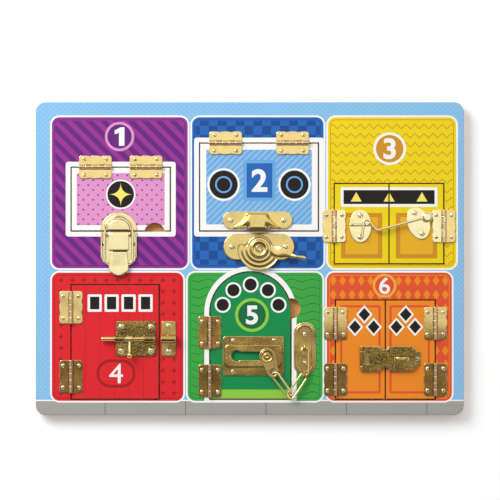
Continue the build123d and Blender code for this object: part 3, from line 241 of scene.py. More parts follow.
def plug(wire, shader, name, value):
    """Joins a wire to the shader, or sets a number on the socket itself."""
    if isinstance(value, Wire):
        wire.tree.links.new(value.socket, shader.inputs[name])
    else:
        shader.inputs[name].default_value = value


def bump(wire, height, strength, depth, **sockets):
    """A Bump node: the slopes of a height, which is that many millimetres deep, lean the surface."""
    inputs = {"Strength": strength, "Distance": depth * mm, "Height": height, **sockets}
    return wire.node("ShaderNodeBump", None, inputs)


def raw_wood(wire, where, z, light, dark, ply=1.5):
    """Bare plywood: long cloudy grain, darker every other ply of that thickness."""
    grain = noise(wire, stretch(wire, where, 0.12), 420.0, 6.0, 0.6)
    plies = ink((z % (2 * ply) - ply).pingpong(ply) - ply * 0.5, 0.3)
    return mix(wire, (grain * 0.7 + plies * 0.45).smaller(1.0), light, dark)


def printed_wood(name, picture, gloss=0.36, matt=0.62):
    """Plywood with a picture on its front: picture(wire, x, y) gives the ink's colour.

    The roughness is gloss where there is paint and matt where the wood is bare.
    """
    made, wire, shader, where, (x, y, z) = start(name)
    fleck = noise(wire, where, 2600.0, 2.0)
    cloud = noise(wire, where, 60.0, 3.0)
    tone = 0.9 + fleck * 0.14 + cloud * 0.06
    grey = wire.node("ShaderNodeCombineColor", None, {0: tone, 1: tone, 2: tone})
    darken = {"data_type": "RGBA", "blend_type": "MULTIPLY"}
    shade = wire.node("ShaderNodeMix", darken, {0: 1.0, 6: picture(wire, x, y), 7: grey}, 2)
    edge = raw_wood(wire, where, z, paint("#c9a06a"), paint("#9a6c3c"))
    on_front = ink(front - paint_depth + cloud * 0.15 - z, 0.12)
    plug(wire, shader, "Base Color", mix(wire, on_front, edge, shade))
    plug(wire, shader, "Roughness", matt - on_front * (matt - gloss) + fleck * 0.08)
    relief = noise(wire, where, 900.0, 3.0) * 0.4 + noise(wire, where, 180.0, 2.0)
    plug(wire, shader, "Normal", bump(wire, relief, 0.1, 0.3))
    plug(wire, shader, "Specular IOR Level", 0.25)
    return made


# %% [markdown]
# ## The print on the board
#
# The board's picture is a patchwork: six coloured fields on a sky blue
# ground, one round each opening, each with its own plain pattern. Fields
# and patterns are written from the distances above. A later line lies
# over an earlier one, as inks do.

# %% The colours
sky, sky_dot = paint("#86bde6"), paint("#a4cdec")
white, soot = paint("#f7f6f2"), paint("#1c1614")
plum, plum_deep, rose = paint("#93308f"), paint("#641f7c"), paint("#dd92c6")
royal, royal_deep, azure = paint("#2265b6"), paint("#174a92"), paint("#6aa6dc")
lemon, ochre, straw = paint("#edd310"), paint("#cf8e22"), paint("#f6e46a")
scarlet, brick = paint("#dc2229"), paint("#a3171d")
leaf, pine, lime = paint("#3ea53f"), paint("#0d8a49"), paint("#8fc842")
tangerine, rust, amber = paint("#ee8a20"), paint("#e0522a"), paint("#f3a640")
kerb, kerb_joint = paint("#a3a19b"), paint("#6c6a65")


# %% The patterns of the six fields
def stripes(x, y, pitch):
    """Bands at 45 degrees: the remainder of x + y, half of each pitch inked."""
    slant = 0.7071  # cosine of 45 degrees
    return ink(((x + y) * slant).pingpong(pitch / 2) - pitch / 4)


def checks(x, y, pitch):
    """Squares of half a pitch, inked where x and y are both in the same half."""
    a, b = x.pingpong(pitch / 2) - pitch / 4, y.pingpong(pitch / 2) - pitch / 4
    return ink(-1.0 * a * b * (4 / pitch), 0.3)


def zigzags(x, y, pitch, half_line=0.55):
    """Thin lines that go up and down: y less a folded x, repeated."""
    return ink((y - x.pingpong(pitch / 2)).pingpong(pitch / 2) - half_line)


def pluses(x, y, pitch, arm=2.1, half_line=0.7):
    """Small plus signs on a grid, each the union of two bars."""
    a, b = abs((x + pitch / 2) % pitch - pitch / 2), abs((y + pitch / 2) % pitch - pitch / 2)
    bar_a, bar_b = (a - arm).larger(b - half_line), (b - arm).larger(a - half_line)
    return ink(bar_a.smaller(bar_b))


def waves(x, y, pitch, swing=1.3, half_line=0.5):
    """Thin lines that follow a sine of x, repeated in y."""
    length = 2.6 * pitch
    return ink((y + (x * (2 * math.pi / length)).sine() * swing).pingpong(pitch / 2) - half_line)


def lattice(x, y, pitch):
    """Diamonds on a grid that is half as tall again as wide: the two folded offsets added."""
    tall = 1.5 * pitch
    a, b = (x + pitch / 2) % pitch - pitch / 2, (y + tall / 2) % tall - tall / 2
    return ink(abs(a) * 0.83 + abs(b) * 0.55 - pitch * 0.3)


def spots(x, y, pitch, radius):
    """Round dots on a grid whose second set lies between the first."""
    one = disc(x % pitch, y % pitch, pitch / 2, pitch / 2, radius)
    two = disc((x + pitch / 2) % pitch, (y + pitch / 2) % pitch, pitch / 2, pitch / 2, radius)
    return ink(one.smaller(two))


# %% Where things lie on the board
# Each field: middle x and y, half width, half height, ground, figure, pattern and its pitch.
fields = [
    (-119.5, 60.5, 62.5, 69.5, plum, plum_deep, stripes, 9.0),
    (7.5, 60.5, 60.5, 69.5, royal, royal_deep, checks, 16.4),
    (131.0, 60.5, 59.0, 69.5, lemon, ochre, zigzags, 8.4),
    (-121.5, -72.0, 60.5, 59.0, scarlet, brick, pluses, 10.4),
    (5.0, -72.0, 62.0, 59.0, leaf, pine, waves, 7.4),
    (128.5, -72.0, 57.5, 59.0, rust, tangerine, lattice, 8.6),
]
field_corner, field_rim, line_inset, figure_inset = 7.0, 1.6, 2.4, 3.2
# Openings 1 and 2: middle x and y, half width, half height. The arch is opening 5.
opening_1 = (-118.65, 54.6, 46.2, 30.0)
opening_2 = (8.6, 65.7, 55.3, 41.1)
arch_x, arch_y, arch_radius, arch_foot = 0.7, -49.6, 38.0, -131.8
surround_width, surround_corner = 4.4, 2.5
kerb_top, stone_length, stone_shift = -130.6, 74.0, 22.0
# The middle of each badge, where a numeral stands.
badge_places = {
    "1": (-119.7, 112.2),
    "2": (9.0, 71.8),
    "3": (128.8, 101.0),
    "4": (-123.0, -105.8),
    "5": (2.1, -52.0),
    "6": (124.1, -25.0),
}
# The badges on the board itself: radius, disc colour and the colour of its rim.
board_badges = {
    "1": (13.5, plum_deep, rose),
    "3": (15.0, ochre, white),
    "6": (11.0, rust, amber),
}
print(len(fields), "fields and", len(board_badges), "badges on the board")


# %% The board's picture
def surround(wire, colour, x, y, opening):
    """A white surround: the opening's rectangle, grown on each side by the surround's width."""
    cx, cy, half_width, half_height = opening
    grown = (half_width + surround_width, half_height + surround_width, surround_corner)
    return mix(wire, ink(block(x, y, cx, cy, *grown)), colour, white)


def board_picture(wire, x, y):
    """The whole front of the board, back to front: dots, kerb, fields, surrounds, badges."""
    colour = mix(wire, spots(x, y, 5.0, 0.55), sky, sky_dot)
    joint = ink(abs((x + stone_shift) % stone_length - stone_length / 2) - 0.35)
    colour = mix(wire, ink(y - kerb_top), colour, mix(wire, joint, kerb, kerb_joint))
    colour = mix(wire, ink(abs(y - kerb_top) - 0.6), colour, white)
    for cx, cy, half_width, half_height, ground, figure, pattern, pitch in fields:
        shape = block(x, y, cx, cy, half_width, half_height, field_corner)
        inked = ink(shape + figure_inset) * pattern(x - cx, y - cy, pitch)
        colour = mix(wire, ink(shape - field_rim), colour, white)
        colour = mix(wire, ink(shape), colour, ground)
        colour = mix(wire, inked, colour, figure)
        colour = mix(wire, ink(abs(shape + line_inset) - 0.35), colour, figure)
    colour = surround(wire, colour, x, y, opening_1)
    colour = surround(wire, colour, x, y, opening_2)
    arch = disc(x, y.larger(arch_y), arch_x, arch_y, arch_radius + surround_width)
    colour = mix(wire, ink(arch.larger(arch_foot - y)), colour, white)
    for digit, (radius, ground, rim) in board_badges.items():
        ring = disc(x, y, *badge_places[digit], radius)
        colour = framed(wire, colour, ring, 2.4, rim, ground)
    return colour


# %% The board's material
board_paint = printed_wood("printed_board", board_picture)
print("board print has", len(board_paint.node_tree.nodes), "nodes")

# %% [markdown]
# ## The print on the doors
#
# Each door counts: door 1 shows one shape, door 2 two, and so on up to
# six. The shapes are plain geometry in white and black on the door's own
# colour. The two leaves of a pair share one picture, because both read
# the same x and y, so a shape may even cross the gap between them.


# %% Door pictures
def star(x, y, cx, cy, radius):
    """A four-pointed star: the square root of each offset's share of the radius, added up."""
    a, b = abs(x - cx) * (1 / radius), abs(y - cy) * (1 / radius)
    return ((a.root() + b.root()) - 1.0) * (radius * 0.5)


def door_1_picture(wire, x, y):
    """A dotted field inside a white edge, and one star on a black disc."""
    cx, cy = opening_1[:2]
    star_y = 59.0
    colour = mix(wire, spots(x, y, 9.0, 0.9), rose, plum)
    colour = mix(wire, ink(-1.0 * block(x, y, cx, cy, 40.5, 24.0, 1.0)), colour, white)
    colour = framed(wire, colour, disc(x, y, cx, star_y, 13.6), 1.4, white, soot)
    return mix(wire, ink(star(x, y, cx, star_y, 11.4)), colour, straw)


def door_2_picture(wire, x, y):
    """Falling stripes inside a white edge, two black discs with a ring on each, a badge between."""
    cx, cy = opening_2[:2]
    disc_y = 68.0
    colour = mix(wire, stripes(x, -1.0 * y, 4.2), azure, paint("#8dbde6"))
    colour = mix(wire, ink(-1.0 * block(x, y, cx, cy, 48.6, 34.4, 1.0)), colour, white)
    for disc_x in (-24.0, 41.2):
        colour = framed(wire, colour, disc(x, y, disc_x, disc_y, 15.0), 2.0, white, soot)
        colour = mix(wire, ink(abs(disc(x, y, disc_x, disc_y, 7.0)) - 0.8), colour, azure)
    badge = block(x, y, *badge_places["2"], 15.0, 19.0, 3.0)
    return framed(wire, colour, badge, 3.2, azure, royal)


def door_3_picture(wire, x, y):
    """Two ochre panels under a black band, and three triangles on the band."""
    middle, panel_shift, figure_shift = 128.25, 25.25, 30.25
    colour = lemon
    for cx in (middle - panel_shift, middle + panel_shift):
        colour = mix(wire, ink(block(x, y, cx, 21.0, 19.0, 21.0, 1.0)), colour, ochre)
        colour = mix(wire, ink(block(x, y, cx, 21.0, 15.0, 17.0, 0.6)), colour, paint("#e6b021"))
    band = block(x, y, middle, 56.5, 44.5, 9.0, 1.0)
    colour = framed(wire, colour, band, 2.6, white, soot)
    for cx in (middle - figure_shift, middle, middle + figure_shift):
        colour = mix(wire, ink(wedge(x, y, cx, 55.3, 5.8)), colour, straw)
    return colour


def door_4_picture(wire, x, y):
    """Upright planks with dark joints, four black squares in a row, and a badge with round ends."""
    plank, first_x, step = 13.4, -142.6, 15.6
    joint = ink(abs((x - 3.0) % plank - plank / 2) - 0.25)
    colour = mix(wire, joint * 0.7, scarlet, brick)
    for i in range(4):
        square = block(x, y, first_x + step * i, -41.0, 6.5, 8.0, 1.0)
        colour = framed(wire, colour, square, 2.2, white, soot)
    badge = block(x, y, *badge_places["4"], 18.0, 13.0, 13.0)
    return framed(wire, colour, badge, 2.6, brick, scarlet)


def door_5_picture(wire, x, y):
    """Dark green over a pale foot, and five black discs in an arch over a round badge."""
    cx, cy, reach, foot = 0.9, -51.0, 27.0, -120.6
    colour = mix(wire, ink(y - foot), pine, lime)
    for i in range(5):
        turn = math.radians(18 + 36 * i)
        dot = disc(x, y, cx + reach * math.cos(turn), cy + reach * math.sin(turn), 7.3)
        colour = framed(wire, colour, dot, 1.7, white, soot)
    badge = disc(x, y, *badge_places["5"], 15.5)
    return framed(wire, colour, badge, 2.8, lime, paint("#0a6a3c"))


def door_6_picture(wire, x, y):
    """A line round each of the two leaves, and three black diamonds on each."""
    leaf_y, diamonds_y = -83.6, -63.0
    colour = tangerine
    for cx, shift in ((101.9, 3.6), (147.2, -3.6)):
        leaf_shape = block(x, y, cx, leaf_y, 17.6, 39.6, 0.8)
        colour = mix(wire, ink(abs(leaf_shape) - 1.0), colour, rust)
        for dx, dy in ((-8.6, 0.0), (8.6, 0.0), (0.0, 11.5)):
            diamond = kite(x, y, cx + shift + dx, diamonds_y + dy, 7.6, 8.6)
            colour = framed(wire, colour, diamond, 1.6, white, soot)
    return colour


# %% Door materials
door_pictures = {
    "door_1": door_1_picture,
    "door_2": door_2_picture,
    "door_3": door_3_picture,
    "door_4": door_4_picture,
    "door_5": door_5_picture,
    "door_6": door_6_picture,
}
door_paints = {name: printed_wood("printed_" + name, picture) for name, picture in door_pictures.items()}


def dress(node, material):
    """Gives a solid one material in place of all it has."""
    mesh = nodes[node].data
    mesh.materials.clear()
    mesh.materials.append(material)


dress("face_board", board_paint)
for name, material in door_paints.items():
    for node in nodes:
        if node in (name, name + "_left", name + "_right"):
            dress(node, material)
            print(node, "wears", material.name)

# %% [markdown]
# ## The backing sheet
#
# Behind the doors is a thin sheet of bare reddish plywood. Fingers reach
# it through the two notches, and a child sees all of it when a door
# opens, so it has real grain and a soft sheen but no print.


# %% Backing material
def backing_material():
    """Clouds stretched into grain mix two tones, and a finer cloud darkens its thin parts as pores."""
    made, wire, shader, where, _ = start("backing_wood")
    stretched = stretch(wire, where, 0.08)
    grain = noise(wire, stretched, 260.0, 7.0, 0.62)
    pores = noise(wire, stretched, 1800.0, 2.0, 0.5)
    colour = mix(wire, grain, paint("#f6ab52"), paint("#ffd08a"))
    colour = mix(wire, ink((pores - 0.36) * 6.0, 1.0) * 0.4, colour, paint("#6d3c12"))
    plug(wire, shader, "Base Color", colour)
    plug(wire, shader, "Roughness", 0.5 + pores * 0.2)
    plug(wire, shader, "Normal", bump(wire, grain + pores, 0.2, 0.3))
    return made


dress("backing_board", backing_material())
print("backing_board wears bare wood")

# %% [markdown]
# ## Brass
#
# The latches are stamped and polished sheet brass. Real sheet is never
# flat: it has soft waves from the press, which bend reflections, and fine
# scratches from handling, which blur them. Both are bump here, at two
# very different scales, with a little tarnish that browns the colour and
# takes the shine off. Over that go painted light and shade: a pale
# painted highlight along the rims, painted shade in the corners, and
# darker tones painted over the lower half of the board, where the brass
# shows the dim room. The rims are found by comparing the surface with a
# rounded copy of itself, and the corners by how little air they see.


# %% The brass recipe
# The first colour here is a painted highlight for the rims, and the last is painted shade for the corners.
highlight_cream, copper, corner_shade = paint("#fff0c4"), paint("#ecc4a4"), paint("#241605")
shade_line, shade_middle = -40.0, -30.0  # painted shade on the brass reaches up to about this y, highest about this x


def brass(name, far, near, rough, wave, rim=0.8, speckle=0.25, seed=0.0, crest=None):
    """Polished brass: tarnish clouds mix a bright and a dull tone, then a painted rim highlight and painted
    corner shade go over.

    far holds the two tones at the board's far side, and near the two for the part below, which are darker
    as painted shade for the dim room that brass reflects there, and where the tarnish is stronger. wave is
    how far the sheet leans, rim its rounded edge in mm, speckle the tarnish's contrast, and seed
    moves the clouds. Above a crest's height in mm, as on a hinge's barrel, rubbing has left copper.
    """
    made, wire, shader, where, (x, y, z) = start(name)
    moved = wire.node("ShaderNodeMapping", None, {"Vector": where, "Location": (seed, seed * 0.7, 0.0)})
    tarnish = noise(wire, moved, 70.0, 5.0, 0.65)
    grit = noise(wire, moved, 1700.0, 1.5, 0.5)
    scratch = noise(wire, stretch(wire, moved, 0.05), 2600.0, 2.0, 0.5)
    # Painted shade: below a line across the board the brass takes its darker near tones, for the dim room it
    # reflects there, and its tarnish clouds grow stronger.
    lower_shade_and_tarnish = ink(y - shade_line + (abs(x - shade_middle) * 0.2).smaller(26.0), 18.0)
    stain = ((tarnish - 0.47) * 3.0 + (grit - 0.5) * (8.0 * speckle)) * (0.5 + lower_shade_and_tarnish * 0.9)
    stain = stain.held()
    bright, dull, low_bright, low_dull = [paint(code) for code in (far + " " + near).split()]
    shining, tarnished = mix(wire, lower_shade_and_tarnish, bright, low_bright), mix(wire, lower_shade_and_tarnish, dull, low_dull)
    polished = mix(wire, stain, shining, tarnished)
    if crest:
        polished = mix(wire, ink(crest - z, 0.5) * 0.75, polished, copper)
    # Painted shade: corners that see little open air within 1.3 mm go towards a near black brown.
    open_air = wire.node("ShaderNodeAmbientOcclusion", {"samples": 8}, {"Distance": 1.3 * mm}, 1)
    corner = ((0.84 - open_air) * 2.6).held()
    # Painted highlight: where a rounded copy of the surface turns away from it, along the rims, the colour
    # goes pale cream.
    rounded = wire.node("ShaderNodeBevel", {"samples": 8}, {"Radius": rim * mm})
    facing = wire.node("ShaderNodeNewGeometry", output="Normal")
    product = {"operation": "DOT_PRODUCT"}
    agree = wire.node("ShaderNodeVectorMath", product, {0: rounded, 1: facing}, "Value")
    rim_highlight = ((0.97 - agree) * 7.0).held() * 0.85
    polished = mix(wire, rim_highlight, polished, highlight_cream)
    plug(wire, shader, "Base Color", mix(wire, corner, polished, corner_shade))
    plug(wire, shader, "Metallic", 1.0)
    plug(wire, shader, "Roughness", rough + stain * 0.05 + scratch * 0.04 + corner * 0.3)
    press = noise(wire, moved, 24.0, 1.5, 0.45)
    dimple = noise(wire, moved, 420.0, 1.0, 0.4)
    soft = bump(wire, press, wave, 2.0, Normal=rounded)
    fine = bump(wire, dimple + grit * 0.4 + scratch * 0.2, 0.25 * speckle, 0.1, Normal=soft)
    plug(wire, shader, "Normal", fine)
    return made


# %% Nine brasses
pale, golden, olive = "#fff0bd #e9cd86", "#f8dd92 #dcb864", "#d6b56a #94703a"
honey = "#e6c67a #b28a44"
# After the name: far and near tones, roughness, lean, rim, speckle and seed.
plate_brass = brass("plate_brass", golden, olive, 0.08, 0.26, 0.8, 0.35)
pale_brass = brass("pale_brass", pale, golden, 0.07, 0.18, 0.8, 0.15, 1.1)
aged_brass = brass("aged_brass", olive, "#d0ae62 #80602c", 0.1, 0.45, 0.8, 0.75, 2.3)
mottled_brass = brass("mottled_brass", olive, "#c2a45c #3a2c12", 0.12, 0.4, 0.8, 1.5, 8.8)
hinge_brass = brass("hinge_brass", golden, "#b8924e #684a22", 0.1, 0.3, 0.8, 0.5, 4.4, crest=14.5)
cast_brass = brass("cast_brass", "#fbebb2 #e2c478", honey, 0.09, 0.2, 0.6, 0.25, 3.1)
gilt_brass = brass("gilt_brass", "#ecd184 #b6944a", honey, 0.09, 0.24, 0.6, 0.3, 6.1)
wire_brass = brass("wire_brass", pale, "#f4dc9a #cda658", 0.08, 0.1, 0.3, 0.2, 5.3)
screw_brass = brass("screw_brass", pale, "#fdf0c8 #dfbb72", 0.12, 0.1, 0.25, 0.2, 7.7)
print("a brass has", len(plate_brass.node_tree.nodes), "nodes")

# %% Which piece wears which brass
wires = ("draw_latch_bail", "hook", "hook_stud", "bolt_rod", "bolt_knob")
doors = tuple(door_pictures) + ("door_3_left", "door_3_right", "door_6_left", "door_6_right")
plates = ("leaves", "pins", "pin", "plate", "strike", "eye", "track", "hanger", "anchor", "leaf")
for node in nodes:
    if node in doors:
        continue
    if node.endswith("screws"):
        dress(node, screw_brass)
    elif node in wires or node.startswith("chain_link"):
        dress(node, wire_brass)
    elif node.startswith("sash"):
        dress(node, gilt_brass)
    elif node.startswith(("draw_latch", "turn_staple", "chain_slider")):
        dress(node, cast_brass)
    elif node in ("hasp_strap", "staple_plate", "bolt_plate"):
        dress(node, mottled_brass)
    elif node == "chain_track":
        dress(node, aged_brass)
    elif node.startswith("door_3") or node in ("hook_eye", "hook_swivel_plate"):
        dress(node, pale_brass)
    elif "hinge" in node:
        dress(node, hinge_brass)
    elif node.endswith(plates):
        dress(node, plate_brass)

# %% [markdown]
# ## Skins for the shaped pieces
#
# The solids of the sash lock, the draw latch's lever, the chain and its
# button are right in size, but pressed and cast brass has soft swells and
# thin ridges that a solid of plain cuts lacks. Each of these gets a new
# skin in the same place. A skin is a stack of rings: a closed line of
# points that changes its shape from ring to ring. One function turns any
# such stack into a mesh, and numpy works out the rings as whole arrays.

# %% A skin over a stack of rings
weld_distance = 2e-6  # in metres; points closer than this become one
sharp_angle = math.radians(40.0)  # faces that meet at more than this keep a crisp edge


def put(name, data):
    """A new object in the scene for that mesh, text, lamp or camera."""
    made = bpy.data.objects.new(name, data)
    bpy.context.scene.collection.objects.link(made)
    return made


def points_of(mesh):
    """A mesh's points, one row of x, y and z for each."""
    points = np.empty(len(mesh.vertices) * 3)
    mesh.vertices.foreach_get("co", points)
    return points.reshape(-1, 3)


def skin(name, body, rings, material, node=None, joined=False):
    """A closed skin over rings of shape (rings, points, 3) in millimetres, in place of a named solid.

    Each ring's points join the next ring's. A joined stack closes on
    itself, as a link of chain does, and any other is capped at both ends.
    """
    rows, around = rings.shape[:2]
    spot = np.arange(rows * around).reshape(rows, around)
    lower = spot if joined else spot[:-1]
    upper = np.roll(spot, -1, axis=0) if joined else spot[1:]
    quads = np.stack([lower, np.roll(lower, -1, 1), np.roll(upper, -1, 1), upper], -1).reshape(-1, 4)
    caps = [] if joined else [spot[0].tolist(), spot[-1].tolist()]
    mesh = bpy.data.meshes.new(name)
    mesh.from_pydata((rings.reshape(-1, 3) * mm).tolist(), [], quads.tolist() + caps)
    shell = bmesh.new()
    shell.from_mesh(mesh)
    bmesh.ops.remove_doubles(shell, verts=shell.verts, dist=weld_distance)
    bmesh.ops.recalc_face_normals(shell, faces=shell.faces)
    shell.to_mesh(mesh)
    shell.free()
    mesh.shade_smooth()
    mesh.set_sharp_from_angle(angle=sharp_angle)
    mesh.materials.append(material)
    piece = put(name, mesh)
    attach(piece, body)
    if node:
        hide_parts(node)
    print(piece.name, "has", len(mesh.polygons), "faces")
    return piece


def box_mm(node):
    """A solid's lowest and highest corner in millimetres."""
    low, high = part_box(node)
    return np.array(low) * 1000.0, np.array(high) * 1000.0


def ease(value):
    """0 below 0, 1 above 1, and between them 3 v squared less 2 v cubed."""
    held = np.clip(value, 0.0, 1.0)
    return held * held * (3.0 - 2.0 * held)


# %% [markdown]
# ## The sash lock's keeper
#
# The keeper is one pressed plate: a bell-shaped hood swells out of it and
# pinches into a lip that hangs over the cam. As a formula the plate is a
# height over x and y. The swell is full where a point is further in than
# a slope's width from the bell's outline, and it eases to nothing across
# that slope. Columns run along x, and each goes over the top of the plate
# and back under it.


# %% The keeper
def keeper_rings():
    """Columns of a height over x and y: plate + swell x ease(side) x ease(front), less the lip's fall."""
    low, high = box_mm("sash_keeper")
    plate, plate_width, lip_half, thinning = 1.6, 15.8, 6.6, 0.7
    bell_top, bell_depth, bell_half, bell_flare, bell_slope = 6.4, 11.0, 11.0, 8.2, 4.6
    lip_fall, lip_slope = 1.15, 4.6
    ridge_y, ridge_radius, ridge_height = -13.5, 9.6, 0.45
    half_length, half_width = (high[0] - low[0]) / 2, plate_width / 2
    centre_x, centre_y = (low[0] + high[0]) / 2, high[1] - half_width
    lip_end = low[1] - centre_y
    swell = high[2] - low[2] - plate
    # The outline: a bar with round ends, whose front edge steps out to the lip.
    turn = np.linspace(0.0, np.pi, 181)
    x = -half_length * np.cos(turn)
    past = np.clip(np.abs(x) - (half_length - half_width), 0.0, half_width)
    y_back = np.sqrt(np.maximum(half_width**2 - past**2, 0.0))
    reach = ease((lip_half + 0.7 - np.abs(x)) / 0.9)
    y_front = -y_back * (1.0 - reach) + lip_end * reach
    step = (1.0 - np.cos(np.linspace(0.0, np.pi, 61))) / 2
    px = np.repeat(x[:, None], step.size, 1)
    py = y_front[:, None] + (y_back - y_front)[:, None] * step
    # The bell widens towards the lip, and the neck is its middle strip, which runs out over the lip.
    down = np.clip((bell_top - py) / bell_depth, 0.0, 1.2)
    bell = bell_half + bell_flare * down**1.7
    side = ease((bell - np.abs(px)) / bell_slope)
    behind = ease((7.0 - py) / 2.2)
    neck = ease((12.3 - np.abs(px)) / 3.0)
    ahead = neck + (1.0 - neck) * ease((py + half_width - 0.1) / 3.4)
    fall = lip_fall * ease((-half_width + 1.6 - py) / lip_slope)
    rise = swell * side * behind * ahead
    lid = plate + rise - fall * neck - 0.5 * ease((-1.0 - py) / 6.0) * side * (1.0 - reach[:, None])
    # A thin ridge runs along a circle, as far as the neck is wide.
    ridge = np.exp(-(((np.hypot(px, py - ridge_y) - ridge_radius) / 0.55) ** 2))
    lid = lid + ridge_height * ridge * neck
    under = np.maximum(lid - plate + thinning * ease(rise / 3.0), 0.03)
    over = np.stack([px + centre_x, py + centre_y, lid + low[2]], -1)
    below = np.stack([px + centre_x, py + centre_y, under + low[2]], -1)[:, ::-1]
    rings = np.concatenate([over, below], 1)
    rings[..., 2] = np.minimum(rings[..., 2], high[2])
    return rings


skin("keeper_hood", "door_2", keeper_rings(), gilt_brass, "sash_keeper")

# %% [markdown]
# ## The sash lock's cam
#
# The cam is turned brass with a crescent's outline. A profile of radius
# and height is carried once round the rivet: a hub with a dished top, a
# shallow groove, two fine ridges and a bright rim. Out past the groove,
# every radius is scaled by how far the crescent reaches in that
# direction. The lever is a ribbon of its own that leaves the hub, arches
# over the base's screw and ends in a thin thumb leaf.


# %% The cam
def carried_round(middle, radius, height, turn):
    """A profile's points at each turn about a middle: radius x cosine, radius x sine, and height."""
    x, y = middle[0] + radius * np.cos(turn), middle[1] + radius * np.sin(turn)
    return np.stack([x, y, height + 0.0 * x], -1)


def cam_rings():
    """A profile (radius, height) carried round the rivet, its outer part scaled to the crescent's reach."""
    low = box_mm("sash_cam")[0]
    rivet_low, rivet_high = box_mm("sash_rivet")
    inner, short, full, middle_turn = 11.0, 12.4, 19.7, math.radians(-110.0)
    profile = np.array(
        [
            (3.4, 0.0), (3.4, 3.2), (4.3, 3.2), (5.3, 3.3), (5.9, 3.85), (6.7, 4.0), (7.4, 3.8),
            (7.8, 3.1), (8.0, 2.2), (8.5, 1.75), (9.4, 1.66), (10.3, 1.68), (10.8, 1.8), (11.2, 1.8),
            (11.7, 1.66), (12.6, 1.5), (14.4, 1.4), (15.0, 1.56), (15.5, 1.56), (16.1, 1.38),
            (17.3, 1.28), (18.2, 1.2), (18.6, 1.36), (18.9, 1.56), (19.4, 1.6), (19.7, 1.35),
            (19.7, 0.4), (19.3, 0.0),
        ]
    )  # fmt: skip
    round_trip = np.linspace(0.0, 2 * np.pi, 240, endpoint=False)
    crescent = ease((np.cos(round_trip - middle_turn) - 0.07) / 0.10)
    outer = short + (full - short) * crescent
    drawn = profile[:, :1]
    scaled = inner + (drawn - inner) * (outer - inner) / (full - inner)
    radius = np.where(drawn > inner, scaled, drawn)
    return carried_round((rivet_low + rivet_high) / 2, radius, profile[:, 1:] + low[2], round_trip)


skin("cam_disc", "sash_cam", cam_rings(), gilt_brass, "sash_cam", joined=True)


# %% The cam's lever
def ribbon_rings(spine, across, widths, thickness, crown=0.25):
    """A flat bar along a spine: each ring is a crowned top and a flat bottom, that wide across."""
    up = np.array([0.0, 0.0, 1.0])
    share = np.linspace(-1.0, 1.0, 13)
    top_z = crown * (1.0 - share**2) - 0.35 * thickness * np.abs(share) ** 6
    upper = spine[:, None] + across[None, None] * (share[:, None] * widths[:, None, None] / 2)
    upper = upper + up * top_z[:, None]
    under = spine[:, None] + across[None, None] * (share[::-1, None] * widths[:, None, None] / 2)
    under = under - up * thickness
    return np.concatenate([upper, under], 1)


def lever_rings():
    """A ribbon from the hub to the thumb leaf; its width narrows from a wing to a thin leaf seen on edge."""
    low, high = box_mm("sash_cam")
    rivet_low, rivet_high = box_mm("sash_rivet")
    centre = (rivet_low + rivet_high) / 2
    lean, root, tip, thickness = math.radians(-10.0), 10.5, 43.9, 1.1
    along = np.array([math.cos(lean), math.sin(lean), 0.0])
    side = np.array([-math.sin(lean), math.cos(lean), 0.0])
    reach = np.linspace(root, tip, 60)
    # Heights and widths change in steps, each an ease from a distance along, over a distance.
    lift = low[2] + 2.4 + 2.0 * ease((reach - 12.0) / 9.0) + 2.0 * ease((reach - 29.0) / 6.0)
    width = 8.6 + 1.4 * ease((reach - 12.0) / 6.0) - 5.0 * ease((reach - 20.0) / 9.0)
    width = width - 2.6 * ease((reach - 29.0) / 5.0) + 0.9 * ease((reach - 35.0) / 5.0)
    width = width * np.sqrt(np.clip((tip + 0.05 - reach) / 2.2, 0.02, 1.0))
    sway = 1.6 * ease((14.0 - reach) / 6.0) - 1.2 * ease((reach - 22.0) / 10.0)
    spine = np.array([centre[0], centre[1], 0.0]) + along * reach[:, None] + side * sway[:, None]
    spine[:, 2] = np.minimum(lift, high[2] - 0.3)
    return ribbon_rings(spine, side, width, thickness)


skin("cam_lever", "sash_cam", lever_rings(), gilt_brass)

# %% [markdown]
# ## The draw latch's lever
#
# The thumb lever is one strip of sheet: a cover over the pivot, a sharp
# step down, and a tongue that flares to a round end. The same ribbon
# makes it, this time along the board's y, with its height and its width
# written as functions of the way along. Two small lugs under the tongue
# hold the ends of the bail.

# %% The draw latch's lever
rightwards = np.array([1.0, 0.0, 0.0])


def draw_lever_rings():
    """A ribbon down the board: cover height, a step, then the tongue; its width flares to a round end."""
    low, high = box_mm("draw_latch_lever")
    middle = (low[0] + high[0]) / 2
    step_y, step_drop, end_round, thickness = 7.4, 1.5, 8.9, 1.2
    cover_width, neck_width, tongue_width = 18.5, 15.9, 17.9
    # The rings lie close together at the round end, where the outline turns fastest.
    share = 1.0 - (1.0 - np.linspace(0.0, 1.0, 240)) ** 1.8
    along = high[1] - 0.4 - (high[1] - low[1] - 0.4) * share
    drop = step_drop * ease((step_y + 0.5 - along) / 0.9) + 0.9 * ease((along - high[1] + 3.2) / 3.0) ** 2
    groove = 1.3 * np.exp(-(((along - step_y + 0.5) / 0.5) ** 2))
    height = high[2] - 0.25 - drop - groove + 0.5 * ease((-6.0 - along) / 9.0)
    wide = cover_width - (cover_width - neck_width) * ease((step_y + 0.3 - along) / 0.6)
    wide = wide + (tongue_width - neck_width) * ease((4.0 - along) / 12.0)
    past = np.clip((low[1] + end_round - along) / end_round, 0.0, 0.9999)
    wide = wide * (1.0 - past**2.9) ** (1 / 2.3)
    spine = np.stack([middle + 0.0 * along, along, height], -1)
    return ribbon_rings(spine, rightwards, wide, thickness, 0.18)


